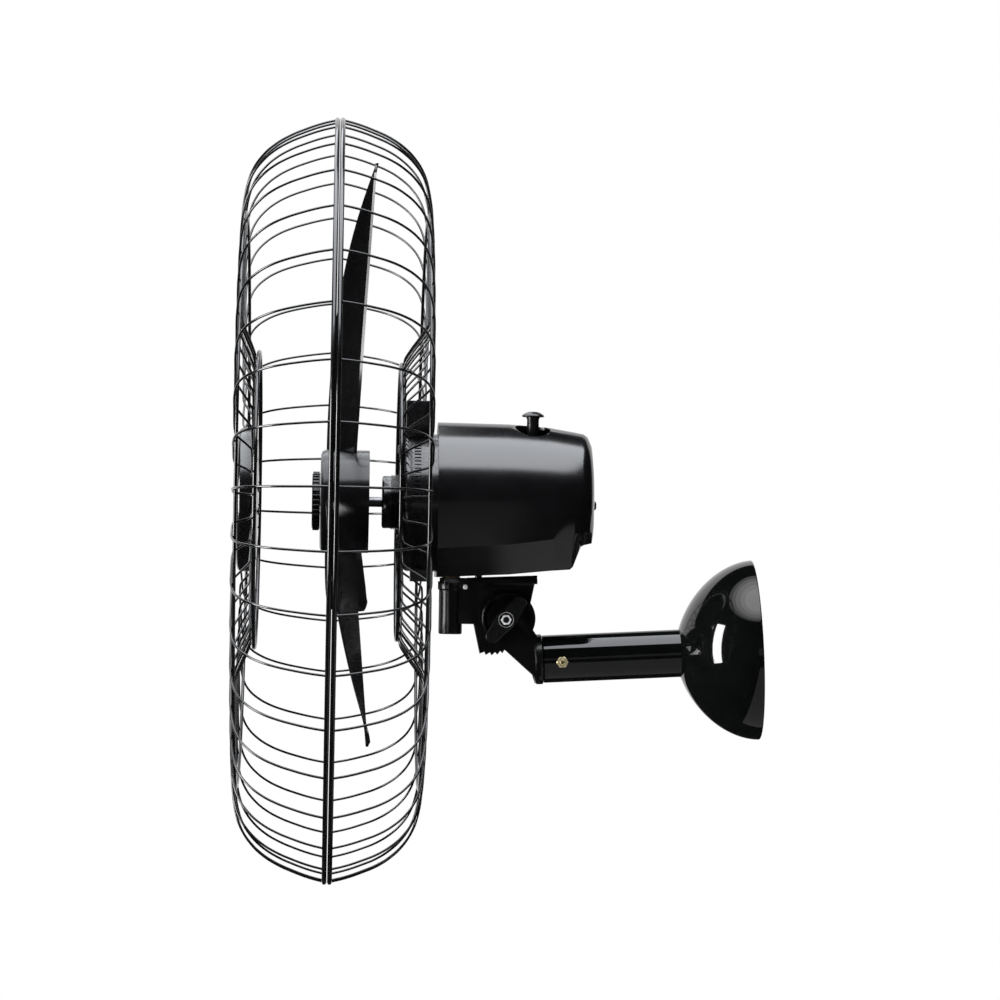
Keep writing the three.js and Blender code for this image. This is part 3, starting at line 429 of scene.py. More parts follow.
# ---------------------------------------------------------------- geometry node trees
class Recipe:
    """A geometry node tree with named inputs, one of them its finish, that is run to a plain mesh."""

    def __init__(self, name):
        self.tree = bpy.data.node_groups.new(name, "GeometryNodeTree")
        self.inputs = {}
        self.start = self.tree.nodes.new("NodeGroupInput")
        self.end = self.tree.nodes.new("NodeGroupOutput")
        self.tree.interface.new_socket("Geometry", in_out="OUTPUT", socket_type="NodeSocketGeometry")
        self.finish, = self.entries(Finish="Material")

    def entries(self, **kinds):
        """The tree's named inputs, as sockets to link from. An underscore stands for a space."""
        for name, kind in kinds.items():
            name = name.replace("_", " ")
            row = self.tree.interface.new_socket(name, in_out="INPUT", socket_type="NodeSocket" + kind)
            self.inputs[name] = row.identifier
        made = list(self.inputs.values())[-len(kinds):]
        return [s for s in self.start.outputs if s.identifier in made]

    def add(self, kind, values=None, **settings):
        """A node with these values in its inputs and these settings of its own."""
        node = self.tree.nodes.new(kind)
        for key, value in settings.items():
            setattr(node, key, value)
        return filled(node, values or {})

    def maths(self, kind, a, b):
        """One step of arithmetic on two numbers."""
        return self.add("ShaderNodeMath", {0: a, 1: b}, operation=kind).outputs[0]

    def laid(self, geometry, place, turn=(0, 0, 0)):
        """The geometry, turned and moved to its place."""
        return self.add("GeometryNodeTransform", {
            "Geometry": geometry, "Translation": place, "Rotation": turn}).outputs[0]

    def close(self, geometry):
        """Ends the tree with Realize Instances and Set Material."""
        real = self.add("GeometryNodeRealizeInstances", {"Geometry": geometry})
        smooth = self.add("GeometryNodeSetShadeSmooth", {"Geometry": real.outputs[0]})
        paint = self.add("GeometryNodeSetMaterial", {"Geometry": smooth.outputs[0], "Material": self.finish})
        self.tree.links.new(paint.outputs[0], self.end.inputs[0])

    def run(self, slot, values):
        """The tree's result in this finish and with these inputs, as an object with a plain mesh."""
        base = placed("base", bpy.data.meshes.new("base"))
        step = base.modifiers.new("recipe", "NODES")
        step.node_group = self.tree
        for name, value in {"Finish": FINISHES[slot], **values}.items():
            step[self.inputs[name]] = value
        return placed("shape", applied(base))


def round_copies(recipe, geometry, count, first):
    """Copies of a shape all round the Y axis, the first one at an angle from the top."""
    points = recipe.add("GeometryNodePoints", {"Count": count})
    place = recipe.add("GeometryNodeInputIndex").outputs[0]
    step = recipe.maths("DIVIDE", 2 * pi, count)
    angle = recipe.maths("ADD", first, recipe.maths("MULTIPLY", place, step))
    turn = recipe.add("ShaderNodeCombineXYZ", {"Y": angle})
    copies = recipe.add("GeometryNodeInstanceOnPoints", {
        "Points": points.outputs[0], "Instance": geometry, "Rotation": turn.outputs[0]})
    return copies.outputs[0]


def row_of_copies(recipe, geometry, count, first, step):
    """Copies of a shape in a straight row."""
    row = recipe.add("GeometryNodeMeshLine", {"Count": count, "Start Location": first, "Offset": step})
    return recipe.add("GeometryNodeInstanceOnPoints", {
        "Points": row.outputs[0], "Instance": geometry}).outputs[0]


def hoop(recipe, radius, depth, wire, sides=10, steps=200):
    """A round wire bent to a circle about the Y axis."""
    line = recipe.add("GeometryNodeCurvePrimitiveCircle", {"Resolution": steps, "Radius": radius})
    section = recipe.add("GeometryNodeCurvePrimitiveCircle", {"Resolution": sides, "Radius": wire})
    body = recipe.add("GeometryNodeCurveToMesh", {
        "Curve": line.outputs[0], "Profile Curve": section.outputs[0]})
    along = recipe.add("ShaderNodeCombineXYZ", {"Y": depth})
    return recipe.laid(body.outputs[0], along.outputs[0], (pi / 2, 0, 0))


# ---------------------------------------------------------------- cage
WIRES = 40
FIRST_WIRE = radians(7.82)
WIRE = 0.95
RIM_RADIUS, RIM_DEPTH, RIM_WIRE = 303.6, 2.15, 2.0
# one wire's centre line, as radius and depth from the plane of the rim
FRONT_LINE = [
    (RIM_RADIUS, RIM_DEPTH), (300.6, 14), (295.6, 28), (290.4, 39.8), (283.4, 51.2), (274.4, 60.8),
    (263, 68.4), (250, 72.8), (234, 75), (200, 76), (149, 76.1), (143, 75.2), (138, 73.4), (121, 66.3),
    (115, 64.4), (108, 64), (52, 64),
]
REAR_LINE = [
    (RIM_RADIUS, RIM_DEPTH), (300.6, 14), (295.6, 28), (290.4, 39.8), (283.4, 50.4), (274.4, 59.6),
    (263, 66.8), (250, 71), (234, 73.4), (200, 74.6), (149, 74.7), (143, 73.6), (139, 71.5), (119, 57.6),
    (114, 55), (107, 54.5), (50, 54.5),
]


def wire_line(points, side):
    """The centre line of one wire, as a smooth curve in the upright plane of the shaft."""
    data = bpy.data.curves.new("wire_line", "CURVE")
    data.dimensions = "3D"
    data.resolution_u = 4
    spline = data.splines.new("BEZIER")
    spline.bezier_points.add(len(points) - 1)
    for knot, (radius, depth) in zip(spline.bezier_points, points):
        knot.co = (0, side * depth, radius)
        knot.handle_left_type = knot.handle_right_type = "AUTO"
    return placed("wire_line", data)


def cage_recipe():
    """The tree of a grille: its wires round the shaft, and the four hoops that they are welded to."""
    recipe = Recipe("half_of_the_cage")
    line, wire, count, first = recipe.entries(
        Wire_line="Object", Wire_radius="Float", Wires="Int", First_wire="Float")
    path = recipe.add("GeometryNodeObjectInfo", {"Object": line}).outputs["Geometry"]
    section = recipe.add("GeometryNodeCurvePrimitiveCircle", {"Resolution": 8, "Radius": wire}).outputs[0]
    spoke = recipe.add("GeometryNodeCurveToMesh", {
        "Curve": path, "Profile Curve": section, "Fill Caps": True}).outputs[0]
    shapes = [round_copies(recipe, spoke, count, first)]
    for name in ("Rim", "Middle", "Corner", "Inner"):
        sizes = recipe.entries(**{f"{name}_{size}": "Float" for size in ("radius", "depth", "wire")})
        shapes.append(hoop(recipe, *sizes))
    whole = recipe.add("GeometryNodeJoinGeometry")
    for shape in shapes:
        recipe.tree.links.new(shape, whole.inputs[0])
    recipe.close(whole.outputs[0])
    return recipe


def cage():
    """The front and the rear grille. Each hoop is its radius, its depth and its wire's radius."""
    recipe = cage_recipe()
    halves = {
        "front": (FRONT_LINE, -1, (229, 73.2, 1.4), (118, 61.2, 1.8), (51, 64, 1.6)),
        "rear": (REAR_LINE, 1, (229, 71.8, 1.4), (110, 52.2, 1.8), (49.6, 54.5, 1.4)),
    }
    for half, (points, side, middle, corner, inner) in halves.items():
        line = wire_line(points, side)
        values = {
            "Wire line": line, "Wire radius": WIRE, "Wires": WIRES, "First wire": FIRST_WIRE,
            "Rim radius": RIM_RADIUS, "Rim depth": side * RIM_DEPTH, "Rim wire": RIM_WIRE,
        }
        for name, (radius, depth, thick) in zip(("Middle", "Corner", "Inner"), (middle, corner, inner)):
            values |= {f"{name} radius": radius, f"{name} depth": side * depth, f"{name} wire": thick}
        shape = recipe.run("wire_enamel", values)
        bpy.data.objects.remove(line)
        settle(shape, f"{half}_cage", "head", "wire_enamel",
               [f"{half}_grille", f"{half}_mid_hoop", f"{half}_corner_hoop"], corner=radians(60))


cage()


# ---------------------------------------------------------------- badge and the plate behind it
BADGE_RADIUS, BADGE_FRONT, BADGE_BACK = 57.3, -77.6, -65.3


def badge():
    """The round cap in the middle of the front grille, and the plate that clamps it from behind."""
    r, front = BADGE_RADIUS, BADGE_FRONT
    crown = [(r * sin(radians(a)) * 0.93, front + 1.3 * (1 - cos(radians(a)))) for a in range(0, 91, 15)]
    rim = [(r - 3.4 + 3.4 * sin(radians(a)), front + 5 - 3.4 * cos(radians(a))) for a in range(15, 91, 15)]
    profile = [*crown, *rim, (r, BADGE_BACK), (r - 2.4, BADGE_BACK), (r - 2.4, front + 5), (0, front + 3.6)]
    cap = turned(profile, steps=128)
    bosses = [ring("y", 1.3, 3.4, front + 3, BADGE_BACK, (0, 0, z), 24) for z in (-9, 9)]
    settle(joined(cap, *bosses), "badge", "head", "housing_plastic", ["badge_cap"])
    plate = turned([(3, -60.9), (3, -62.5), (46, -62.5), (48, -61.7), (48, -60.9)], steps=96)
    spokes = [block((-4, 4), (-62.4, -61), (z - 5, z + 5)) for z in (-9, 9)]
    settle(gathered(plate, *spokes), "badge_clamp", "head", "housing_plastic", ["badge_plate"])


badge()


# ---------------------------------------------------------------- impeller
FIRST_BLADE = 12.5  # degrees from the top, at the tip
BLADE_SWEEP, BLADE_BOW = 17.2, 10.2  # degrees: tip ahead of root, and the bow between them
BLADES = 3
BLADE_TIP = 272
BLADE_ROOT_WIDTH, BLADE_WIDTH, BLADE_TIP_WIDTH = 36, 74, 18
BLADE_WIDEST = 0.28  # share of the blade's length where it is widest
LEAD_ROOT, LEAD_TIP = 17.9, 29.6  # depths of the blade's two edges behind the rim's plane
TRAIL_ROOT, TRAIL_TIP = -4.9, 30.8
BLADE_CAMBER = 1.5
BLADE_THICK = 2.4
TIP_ROUND = 0.03  # share of the blade's length that its rounded tip takes
HUB_RADIUS, HUB_FRONT, HUB_BACK = 41, -10.6, 28.2
SPINNER_RADIUS, SPINNER_FRONT = 23.5, -17.2
SHAFT_RADIUS, SHAFT_BACK = 4, 176
ROOT = HUB_RADIUS - 1.5


def blade_point(t, s, turn):
    """A point on a blade's back: t runs from hub to tip, s from the leading edge to the trailing."""
    radius = ROOT + (BLADE_TIP - ROOT) * t
    swell = sin(pi / 2 * min(t / BLADE_WIDEST, 1))
    taper = max(t - BLADE_WIDEST, 0) / (1 - BLADE_WIDEST)
    width = BLADE_ROOT_WIDTH + (BLADE_WIDTH - BLADE_ROOT_WIDTH) * swell
    width -= (BLADE_WIDTH - BLADE_TIP_WIDTH) * taper ** 1.2
    past = max(t - 1 + TIP_ROUND, 0) / TIP_ROUND
    width *= max(sqrt(max(1 - past ** 2, 0)), 0.16)
    angle = turn + radians(BLADE_SWEEP * (t - 1) + BLADE_BOW * t * (1 - t)) + width / radius * (0.5 - s)
    lead = LEAD_ROOT + (LEAD_TIP - LEAD_ROOT) * t ** 1.1
    trail = TRAIL_ROOT + (TRAIL_TIP - TRAIL_ROOT) * t ** 2.4
    depth = lead + (trail - lead) * s + BLADE_CAMBER * sin(pi * s) * (1 - 0.6 * t)
    return Vector((radius * sin(angle), depth, radius * cos(angle)))


def blade(turn):
    """One blade: a skin on each side, blunt at the leading edge and thin at the trailing."""
    along, across = 44, 30
    rings = []
    for i in range(along + 1):
        t = sin(pi / 2 * i / along)
        thick = BLADE_THICK * (1 - 0.25 * t)
        back, front = [], []
        for k in range(across + 1):
            s = (1 - cos(pi * k / across)) / 2
            thin = thick * (max(1 - (2 * s - 1) ** 8, 0.12) if s > 0.5 else 1)
            middle = blade_point(t, s, turn) - Vector((0, thick / 2 + 0.1, 0))
            back.append(middle + Vector((0, thin / 2, 0)))
            front.insert(0, middle - Vector((0, thin / 2, 0)))
        rings.append(back + front)
    return lofted(rings)


def impeller():
    """Three blades on a ribbed hub, the spinner nut that holds it, and the motor's shaft."""
    blades = []
    for i in range(BLADES):
        turn = radians(FIRST_BLADE + 360 / BLADES * i)
        blades.append(settle(blade(turn), f"blade_{i + 1}", "rotor", "blade_plastic",
                             [f"fan_blade_{i + 1}"], corner=radians(50)))
    for lamp in ("backdrop", "front_softbox"):
        choose_receivers(lamp, blades, "EXCLUDE")
    choose_receivers("blade_edge_card", blades, "INCLUDE")
    bore = SHAFT_RADIUS + 0.3
    r, front, back = HUB_RADIUS, HUB_FRONT, HUB_BACK
    shell = turned([
        (bore, front), (r - 4, front), (r - 1.2, front + 1.1), (r, front + 4), (r, back), (r - 2.6, back),
        (r - 2.6, front + 6), (11, front + 6), (11, back), (bore, back),
    ], steps=128)
    recipe = Recipe("hub_ribs")
    count, size, place = recipe.entries(Ribs="Int", Rib_size="Vector", Rib_place="Vector")
    rib = recipe.add("GeometryNodeMeshCube", {"Size": size}).outputs[0]
    recipe.close(round_copies(recipe, recipe.laid(rib, place), count, 0.0))
    ribs = recipe.run("blade_plastic", {
        "Ribs": 6, "Rib size": (1.8, 28, r - 13.2), "Rib place": (0, (front + back) / 2 + 3.5, (r + 9) / 2)})
    settle(gathered(shell, ribs), "impeller_hub", "rotor", "blade_plastic", ["fan_hub"])

    recipe = Recipe("spinner_grip")
    count, wide, deep, place = recipe.entries(
        Ribs="Int", Rib_radius="Float", Rib_length="Float", Rib_place="Vector")
    bar = recipe.add("GeometryNodeMeshCylinder", {"Vertices": 12, "Radius": wide, "Depth": deep}).outputs[0]
    recipe.close(round_copies(recipe, recipe.laid(bar, place, (pi / 2, 0, 0)), count, 0.0))
    r, front, back = SPINNER_RADIUS, SPINNER_FRONT, HUB_FRONT - 0.3
    ribs = recipe.run("knob_plastic", {
        "Ribs": 36, "Rib radius": 1.0, "Rib length": back - front - 1.2,
        "Rib place": (0, (front + back) / 2, r - 1)})
    core = turned([
        (0, front + 0.9), (11, front + 0.9), (13, front), (r - 2.2, front), (r - 1.1, front + 0.9),
        (r - 1.1, back), (bore, back), (bore, front + 3), (0, front + 3)], steps=96)
    settle(gathered(core, ribs), "spinner", "rotor", "knob_plastic", ["spinner_nut"])
    shaft = rod("y", SHAFT_RADIUS, SPINNER_FRONT + 3.3, SHAFT_BACK, steps=48, soften=0.4)
    settle(shaft, "shaft", "rotor", "ground_steel", ["motor_shaft"])


impeller()


# ---------------------------------------------------------------- motor housing
HOUSING_FRONT, HOUSING_WALL = 82.3, 2.5
CLUTCH_X, CLUTCH_Y = 16, 157.7
# place on the shaft, top, half width, height of the crease, bottom, half width of the bottom
STATIONS = [
    (82.3, 64.6, 61, -36.5, -59.2, 44),
    (139.4, 64, 60.5, -32.5, -56.1, 42),
    (171.5, 61.9, 58, -28, -52.7, 39),
    (188, 59.2, 54.7, -23.6, -51.4, 36),
    (190.4, 58.8, 54.2, -23.2, -49.2, 36),
    (196.4, 57.7, 52.8, -22.1, -33.2, 36),
    (199, 57.2, 52, -21.9, -31.8, 36),
    (202.2, 54.9, 49.4, -21.4, -31.1, 35),
    (205.2, 48.6, 43.6, -20, -30.3, 32),
    (207, 33, 29.6, -15, -23, 21),
    (208, 14, 13, -8, -12, 9),
    (208.3, 5, 4.8, -3, -4.6, 3),
]


def housing_section(station, shrink=0.0, depth=0.0, steps=28):
    """A round top, upright sides down to the crease, then a tuck in to the flat bottom."""
    y, top, half, crease, bottom, foot = station
    top, half, bottom, foot = top - shrink, half - shrink, bottom + shrink, foot - shrink * 0.6
    points = [(half * cos(pi * i / steps), y + depth, top * sin(pi * i / steps)) for i in range(steps + 1)]
    side = [(half * (1 - 0.015 * i / 3), crease * i / 3) for i in (1, 2, 3)]
    side += [(foot + 1.5, bottom + 1.2), (foot, bottom)]
    points += [(-x, y + depth, z) for x, z in side]
    points += [(x, y + depth, z) for x, z in reversed(side)]
    return points


def between(stations, steps):
    """Stations with straight ones put in between where they stand far apart."""
    result = [stations[0]]
    for here, there in zip(stations, stations[1:]):
        count = steps if there[0] - here[0] > 12 else 1
        for i in range(1, count + 1):
            result.append(tuple(a + (b - a) * i / count for a, b in zip(here, there)))
    return result


def housing():
    """The motor's shell, with holes for the cover, the pull knob, the pan stem, the link and a screw."""
    outer = lofted([housing_section(s) for s in between(STATIONS, 6)])
    wall = HOUSING_WALL
    inner = lofted([
        housing_section(s, wall, wall if i == 0 else -1.5 if i < 4 else -wall - 1)
        for i, s in enumerate(STATIONS[:8])])
    slot = arc((0, PAN_Y), 25.6, 38, 142, 24) + arc((0, PAN_Y), 18.4, 142, 38, 24)
    shell = cut(
        outer, inner,
        rod("y", 55.4, HOUSING_FRONT - 6, HOUSING_FRONT + 6, steps=128),
        rod("z", 14, 30, 80, (CLUTCH_X, CLUTCH_Y, 0), 96),
        rod("z", 7, -70, -45, (0, PAN_Y, 0)),
        prism(slot, "z", -70, -45),
        rod("y", 2.3, 195, 215, steps=24),
    )
    settle(shell, "housing", "head", "housing_plastic", ["motor_housing"], bevel=0.7)


housing()


def pull_knob():
    """The mushroom knob on top that works the clutch of the oscillation."""
    at = (CLUTCH_X, CLUTCH_Y, 0)
    top, r = 74, 9
    cap = turned([
        (0, top - 4.5), (r - 1.2, top - 4.5), (r - 0.2, top - 4.1), (r, top - 3.4), (r - 0.5, top - 2.7),
        (r - 3.2, top - 1.0), (r - 4.6, top - 0.5), (3, top - 0.1), (0, top),
    ], "z", 64, at)
    stem = turned([
        (0, -3), (3.1, -3), (3.1, 21), (4.8, 22), (4.8, top - 6.4), (5.4, top - 5), (5.4, top - 4),
        (0, top - 4),
    ], "z", 48, at)
    settle(joined(cap, stem), "pull_knob", "pull_knob", "knob_plastic", ["oscillation_knob"])


pull_knob()


# ---------------------------------------------------------------- front cover and capacitor box
NOSE_RADIUS, NOSE_FRONT, COVER_FACE, COVER_RADIUS, COVER_WALL = 22, 38.6, 56, 55, 2.5
CAGE_SCREW_CIRCLE = 42
CAGE_SCREW_TURNS = (0, 135, 225)


def around(radius, turns):
    """Places on a circle about the Y axis, at these angles from the top."""
    return [(radius * sin(radians(turn)), 0, radius * cos(radians(turn))) for turn in turns]


def front_cover():
    """The motor's front, with its threaded nose and a row of vents that stops at the box and the foot."""
    pitch, ridges = 1.62, 6
    thread_start = COVER_FACE - 0.6 - pitch * ridges
    r = NOSE_RADIUS
    nose = [(5, NOSE_FRONT), (r - 3, NOSE_FRONT), (r - 1.6, NOSE_FRONT + 0.5), (r - 1, NOSE_FRONT + 1.6)]
    for i in range(ridges):
        y = thread_start + i * pitch
        nose += [(r - 1.1, y), (r, y + 0.45), (r, y + 0.85), (r - 1.1, y + 1.3)]
    skirt = HOUSING_FRONT + 3.5
    rim = COVER_RADIUS
    shell = turned([
        *nose, (r - 1.1, COVER_FACE - 0.4), (r + 1, COVER_FACE),
        (rim - 3.4, COVER_FACE), (rim - 1.1, COVER_FACE + 0.9), (rim, COVER_FACE + 3.2), (rim, skirt),
        (rim - COVER_WALL, skirt), (rim - COVER_WALL, COVER_FACE + 3.6), (rim - 4.5, COVER_FACE + 2.6),
        (5, COVER_FACE + 2.6),
    ], steps=144)
    recipe = Recipe("vent_cutters")
    count, size, place, first = recipe.entries(
        Vents="Int", Vent_size="Vector", Vent_place="Vector", First_vent="Float")
    slit = recipe.add("GeometryNodeMeshCube", {"Size": size}).outputs[0]
    recipe.close(round_copies(recipe, recipe.laid(slit, place), count, first))
    vents = recipe.run("housing_plastic", {
        "Vents": 96, "Vent size": (1.9, 5.4, 2), "Vent place": (0, 66, rim + 0.2),
        "First vent": radians(1.9)})
    foot = block((-13, 13), (62, 80), (-63, -50))
    by_the_box, by_the_foot = block((-21, 21), (60, 80), (40, 70)), block((-16, 16), (60, 80), (-70, -40))
    vents = cut(vents, by_the_box, by_the_foot)
    taps = [rod("y", 2.3, COVER_FACE - 2, COVER_FACE + 5, at, 24)
            for at in around(CAGE_SCREW_CIRCLE, CAGE_SCREW_TURNS)]
    cover = cut(joined(shell, foot), vents, *taps)
    settle(cover, "front_cover_finish", "head", "housing_plastic", ["front_cover"], corner=radians(35))


front_cover()


def capacitor_housing():
    """The box on top of the cover, open at the back."""
    shell = block((-20, 20), (COVER_FACE + 0.8, 78), (45, 81))
    hollow = block((-18, 18), (COVER_FACE + 2.8, 90), (57.5, 79))
    body = cut(shell, rod("y", COVER_RADIUS + 0.3, 50, 85, steps=144), hollow)
    settle(body, "capacitor_cover", "head", "housing_plastic", ["capacitor_box"], bevel=0.9)


capacitor_housing()


# ---------------------------------------------------------------- neck
PLATE_TOP, PLATE_BOTTOM = -59.5, -63.5
RAMP_TOP = -56.6  # as high as the deck's back can rise before the housing brushes it in pan
BARREL_RADIUS, BARREL_BOTTOM = 9.45, -104.6
STEM_RADIUS, POST_REACH = 6, 22
TILT_BOLT = 2.4


def clamp_teeth():
    """The coarse teeth under the boss, where the wing knob's clamp bites."""
    count, first, last = 4, 234, 266
    points = []
    for i in range(count * 2 + 1):
        along = i / (count * 2)
        angle = radians(first + (last - first) * along)
        radius = 34 - 7 * along - (0 if i % 2 == 0 else 2.6)
        points.append((PIVOT_BACK + radius * cos(angle), -PIVOT_DOWN + radius * sin(angle)))
    return points


def neck():
    """The casting under the motor: deck, barrel for the pan stem, and the web with its round boss."""
    deck = prism([
        (-9, PAN_Y - 5.2), (-5.2, PAN_Y - 9), (5.2, PAN_Y - 9), (9, PAN_Y - 5.2),
        (14, PAN_Y + 8), (14, 163.6), (-14, 163.6), (-14, PAN_Y + 8)], "z", PLATE_BOTTOM, PLATE_TOP)
    web = prism([
        (99, -62), (99, -96.3), (113.6, -96.3), *clamp_teeth(),
        (146, -104), (156.5, -86), (158.9, -77.9), (162, -62)], "x", -7, 7)
    centre = (PIVOT_BACK + 2.5, -PIVOT_DOWN + 0.8)
    disc = rod("x", 21.5, -9.5, 9.5, (0, *centre), 96, soften=0.8)
    bead = ring("x", 17.5, 19, 9.2, 9.5, (0, *centre), 72)
    barrel = turned([
        (0, PLATE_BOTTOM + 1), (10.4, PLATE_BOTTOM + 1), (10.4, PLATE_BOTTOM - 5),
        (BARREL_RADIUS, PLATE_BOTTOM - 6.2), (BARREL_RADIUS, BARREL_BOTTOM + 1),
        (BARREL_RADIUS - 1, BARREL_BOTTOM), (0, BARREL_BOTTOM)], "z", 64, (0, PAN_Y, 0))
    ribs = [prism([(y, -62), (y, -95), (y + 2, -95), (y + 2, -62)], "x", -8.2, 8.2) for y in (118, 128)]
    ramp = prism([
        (108, PLATE_TOP - 1), (108, PLATE_TOP + 0.2), (163.4, RAMP_TOP), (163.4, PLATE_TOP - 1)],
        "x", -13.6, 13.6)
    body = joined(deck, ramp, web, disc, barrel, *ribs)
    bores = [
        rod("z", STEM_RADIUS + 1.6, -120, -50, (0, PAN_Y, 0)),
        rod("z", 3.1, -70, -50, (0, PAN_Y + POST_REACH, 0), 24),
        rod("x", TILT_BOLT + 0.3, -30, 30, (0, PIVOT_BACK, -PIVOT_DOWN), 32),
        bead,
    ]
    settle(cut(body, *bores), "neck_body", "neck", "satin_casting", ["neck_casting"], bevel=0.35)


neck()


# ---------------------------------------------------------------- arm
TUBE_RADIUS, TUBE_WALL, TUBE_FRONT, TUBE_BACK = 19.05, 2, -171.3, -5.3
CROSS_BOLT, CROSS_BOLT_END = (0, -156.6, -2.6), 23
COLLAR_RADIUS, COLLAR_FRONT = 20, -178
CHEEK_INNER, CHEEK_OUTER = 10, 14.5
DOME_RADIUS, DOME_DEPTH, DOME_POWER, DOME_WALL = 72, 64, 1.8, 1.2
PLATE_RADIUS, PLATE_THICK = 60, 5


def arm_tube():
    """The tube between wall and yoke, drilled for a bolt and a screw."""
    r, front, back = TUBE_RADIUS, TUBE_FRONT, TUBE_BACK
    tube = turned([
        (r - TUBE_WALL, front + 0.4), (r - 1.4, front), (r - 0.6, front), (r, front + 0.6),
        (r, back - 0.4), (r - 0.4, back), (r - TUBE_WALL, back)], steps=128)
    holes = [rod("x", 2.7, -30, 30, CROSS_BOLT, 32), rod("x", 2.3, 10, 30, (0, -30, 0), 32)]
    settle(cut(tube, *holes), "tube", "wall_arm", "gloss_enamel", ["arm_tube"])


def yoke():
    """The casting at the tube's front: spigot, collar and the two cheeks that hold the neck."""
    r = COLLAR_RADIUS
    spigot = ring("y", 12, TUBE_RADIUS - TUBE_WALL - 0.3, COLLAR_FRONT + 2, -138, steps=96)
    collar = turned([
        (0, COLLAR_FRONT), (r - 2, COLLAR_FRONT), (r - 0.6, COLLAR_FRONT + 0.6), (r, COLLAR_FRONT + 2),
        (r, TUBE_FRONT - 1), (r - 0.6, TUBE_FRONT - 0.35), (0, TUBE_FRONT - 0.35)], steps=128)
    strap = [
        (-186.5, 37), (-176.4, 20.2), (-175, 17), (-175, -18), (-177.7, -19.5),
        (-179.7, -12.5), (-193.3, 0.9), (-200.9, 8.4), (-210, 20)]
    parts = [spigot]
    for lo, hi in ((CHEEK_INNER, CHEEK_OUTER), (-CHEEK_OUTER, -CHEEK_INNER)):
        parts += [prism(strap, "x", lo, hi), rod("x", 15, lo, hi, PIVOT, 96)]
    bores = [rod("x", bore, -30, 30, at, 32) for bore, at in ((2.7, CROSS_BOLT), (TILT_BOLT + 0.3, PIVOT))]
    body = cut(joined(collar, *parts), *bores)
    settle(body, "yoke", "wall_arm", "satin_casting", ["yoke_arm"], bevel=0.45)


def canopy():
    """The domed cover over the wall plate, a superellipse in section with a rolled rim."""
    hole, lip = TUBE_RADIUS + 0.3, 0.5

    def skin(rim, depth, steps):
        points = []
        for i in range(1, steps + 1):
            radius = hole + (rim - hole) * cos(pi / 2 * i / steps)
            points.append((radius, -lip - depth * (1 - (radius / rim) ** DOME_POWER) ** (1 / DOME_POWER)))
        return points

    outside = [(DOME_RADIUS - 0.4, -lip), (DOME_RADIUS, -lip - 0.4), *skin(DOME_RADIUS, DOME_DEPTH, 48)]
    bore = DOME_RADIUS - DOME_WALL
    inside = [*reversed(skin(bore, DOME_DEPTH - DOME_WALL, 36)), (bore, -lip)]
    cover = settle(turned(outside + inside, steps=192), "canopy", "wall_arm", "gloss_enamel",
                   ["wall_dome"], corner=radians(50))
    for lamp in ("canopy_strip", *GLOW_LIGHTS):
        choose_receivers(lamp, [cover], "INCLUDE")
    for lamp in ("front_softbox", "overhead_softbox", "overhead_spill"):
        choose_receivers(lamp, [cover], "EXCLUDE")


arm_tube()
yoke()
canopy()


# ---------------------------------------------------------------- tilt clamp
KNOB_LENGTH, KNOB_WIDTH, KNOB_ANGLE = 45, 12, 48.6
KNOB_IN = CHEEK_OUTER + 0.3
KNOB_OUT = KNOB_IN + 8.7


def hexagon(axis, radius, lo, hi, at, bore=0.0):
    """A nut or a bolt's head, its corners turned down at both ends."""
    body = rod(axis, radius, lo, hi, steps=6)
    dome = turned([(0, lo), (radius * 0.86, lo), (radius * 1.02, lo + 0.7), (radius * 1.02, hi - 0.7),
                   (radius * 0.86, hi), (0, hi)], axis, 48)
    nut = worked(body, [dome], "INTERSECT")
    if bore:
        nut = cut(nut, rod(axis, bore, lo - 1, hi + 1, steps=32))
    return moved(nut, Matrix.Translation(at))


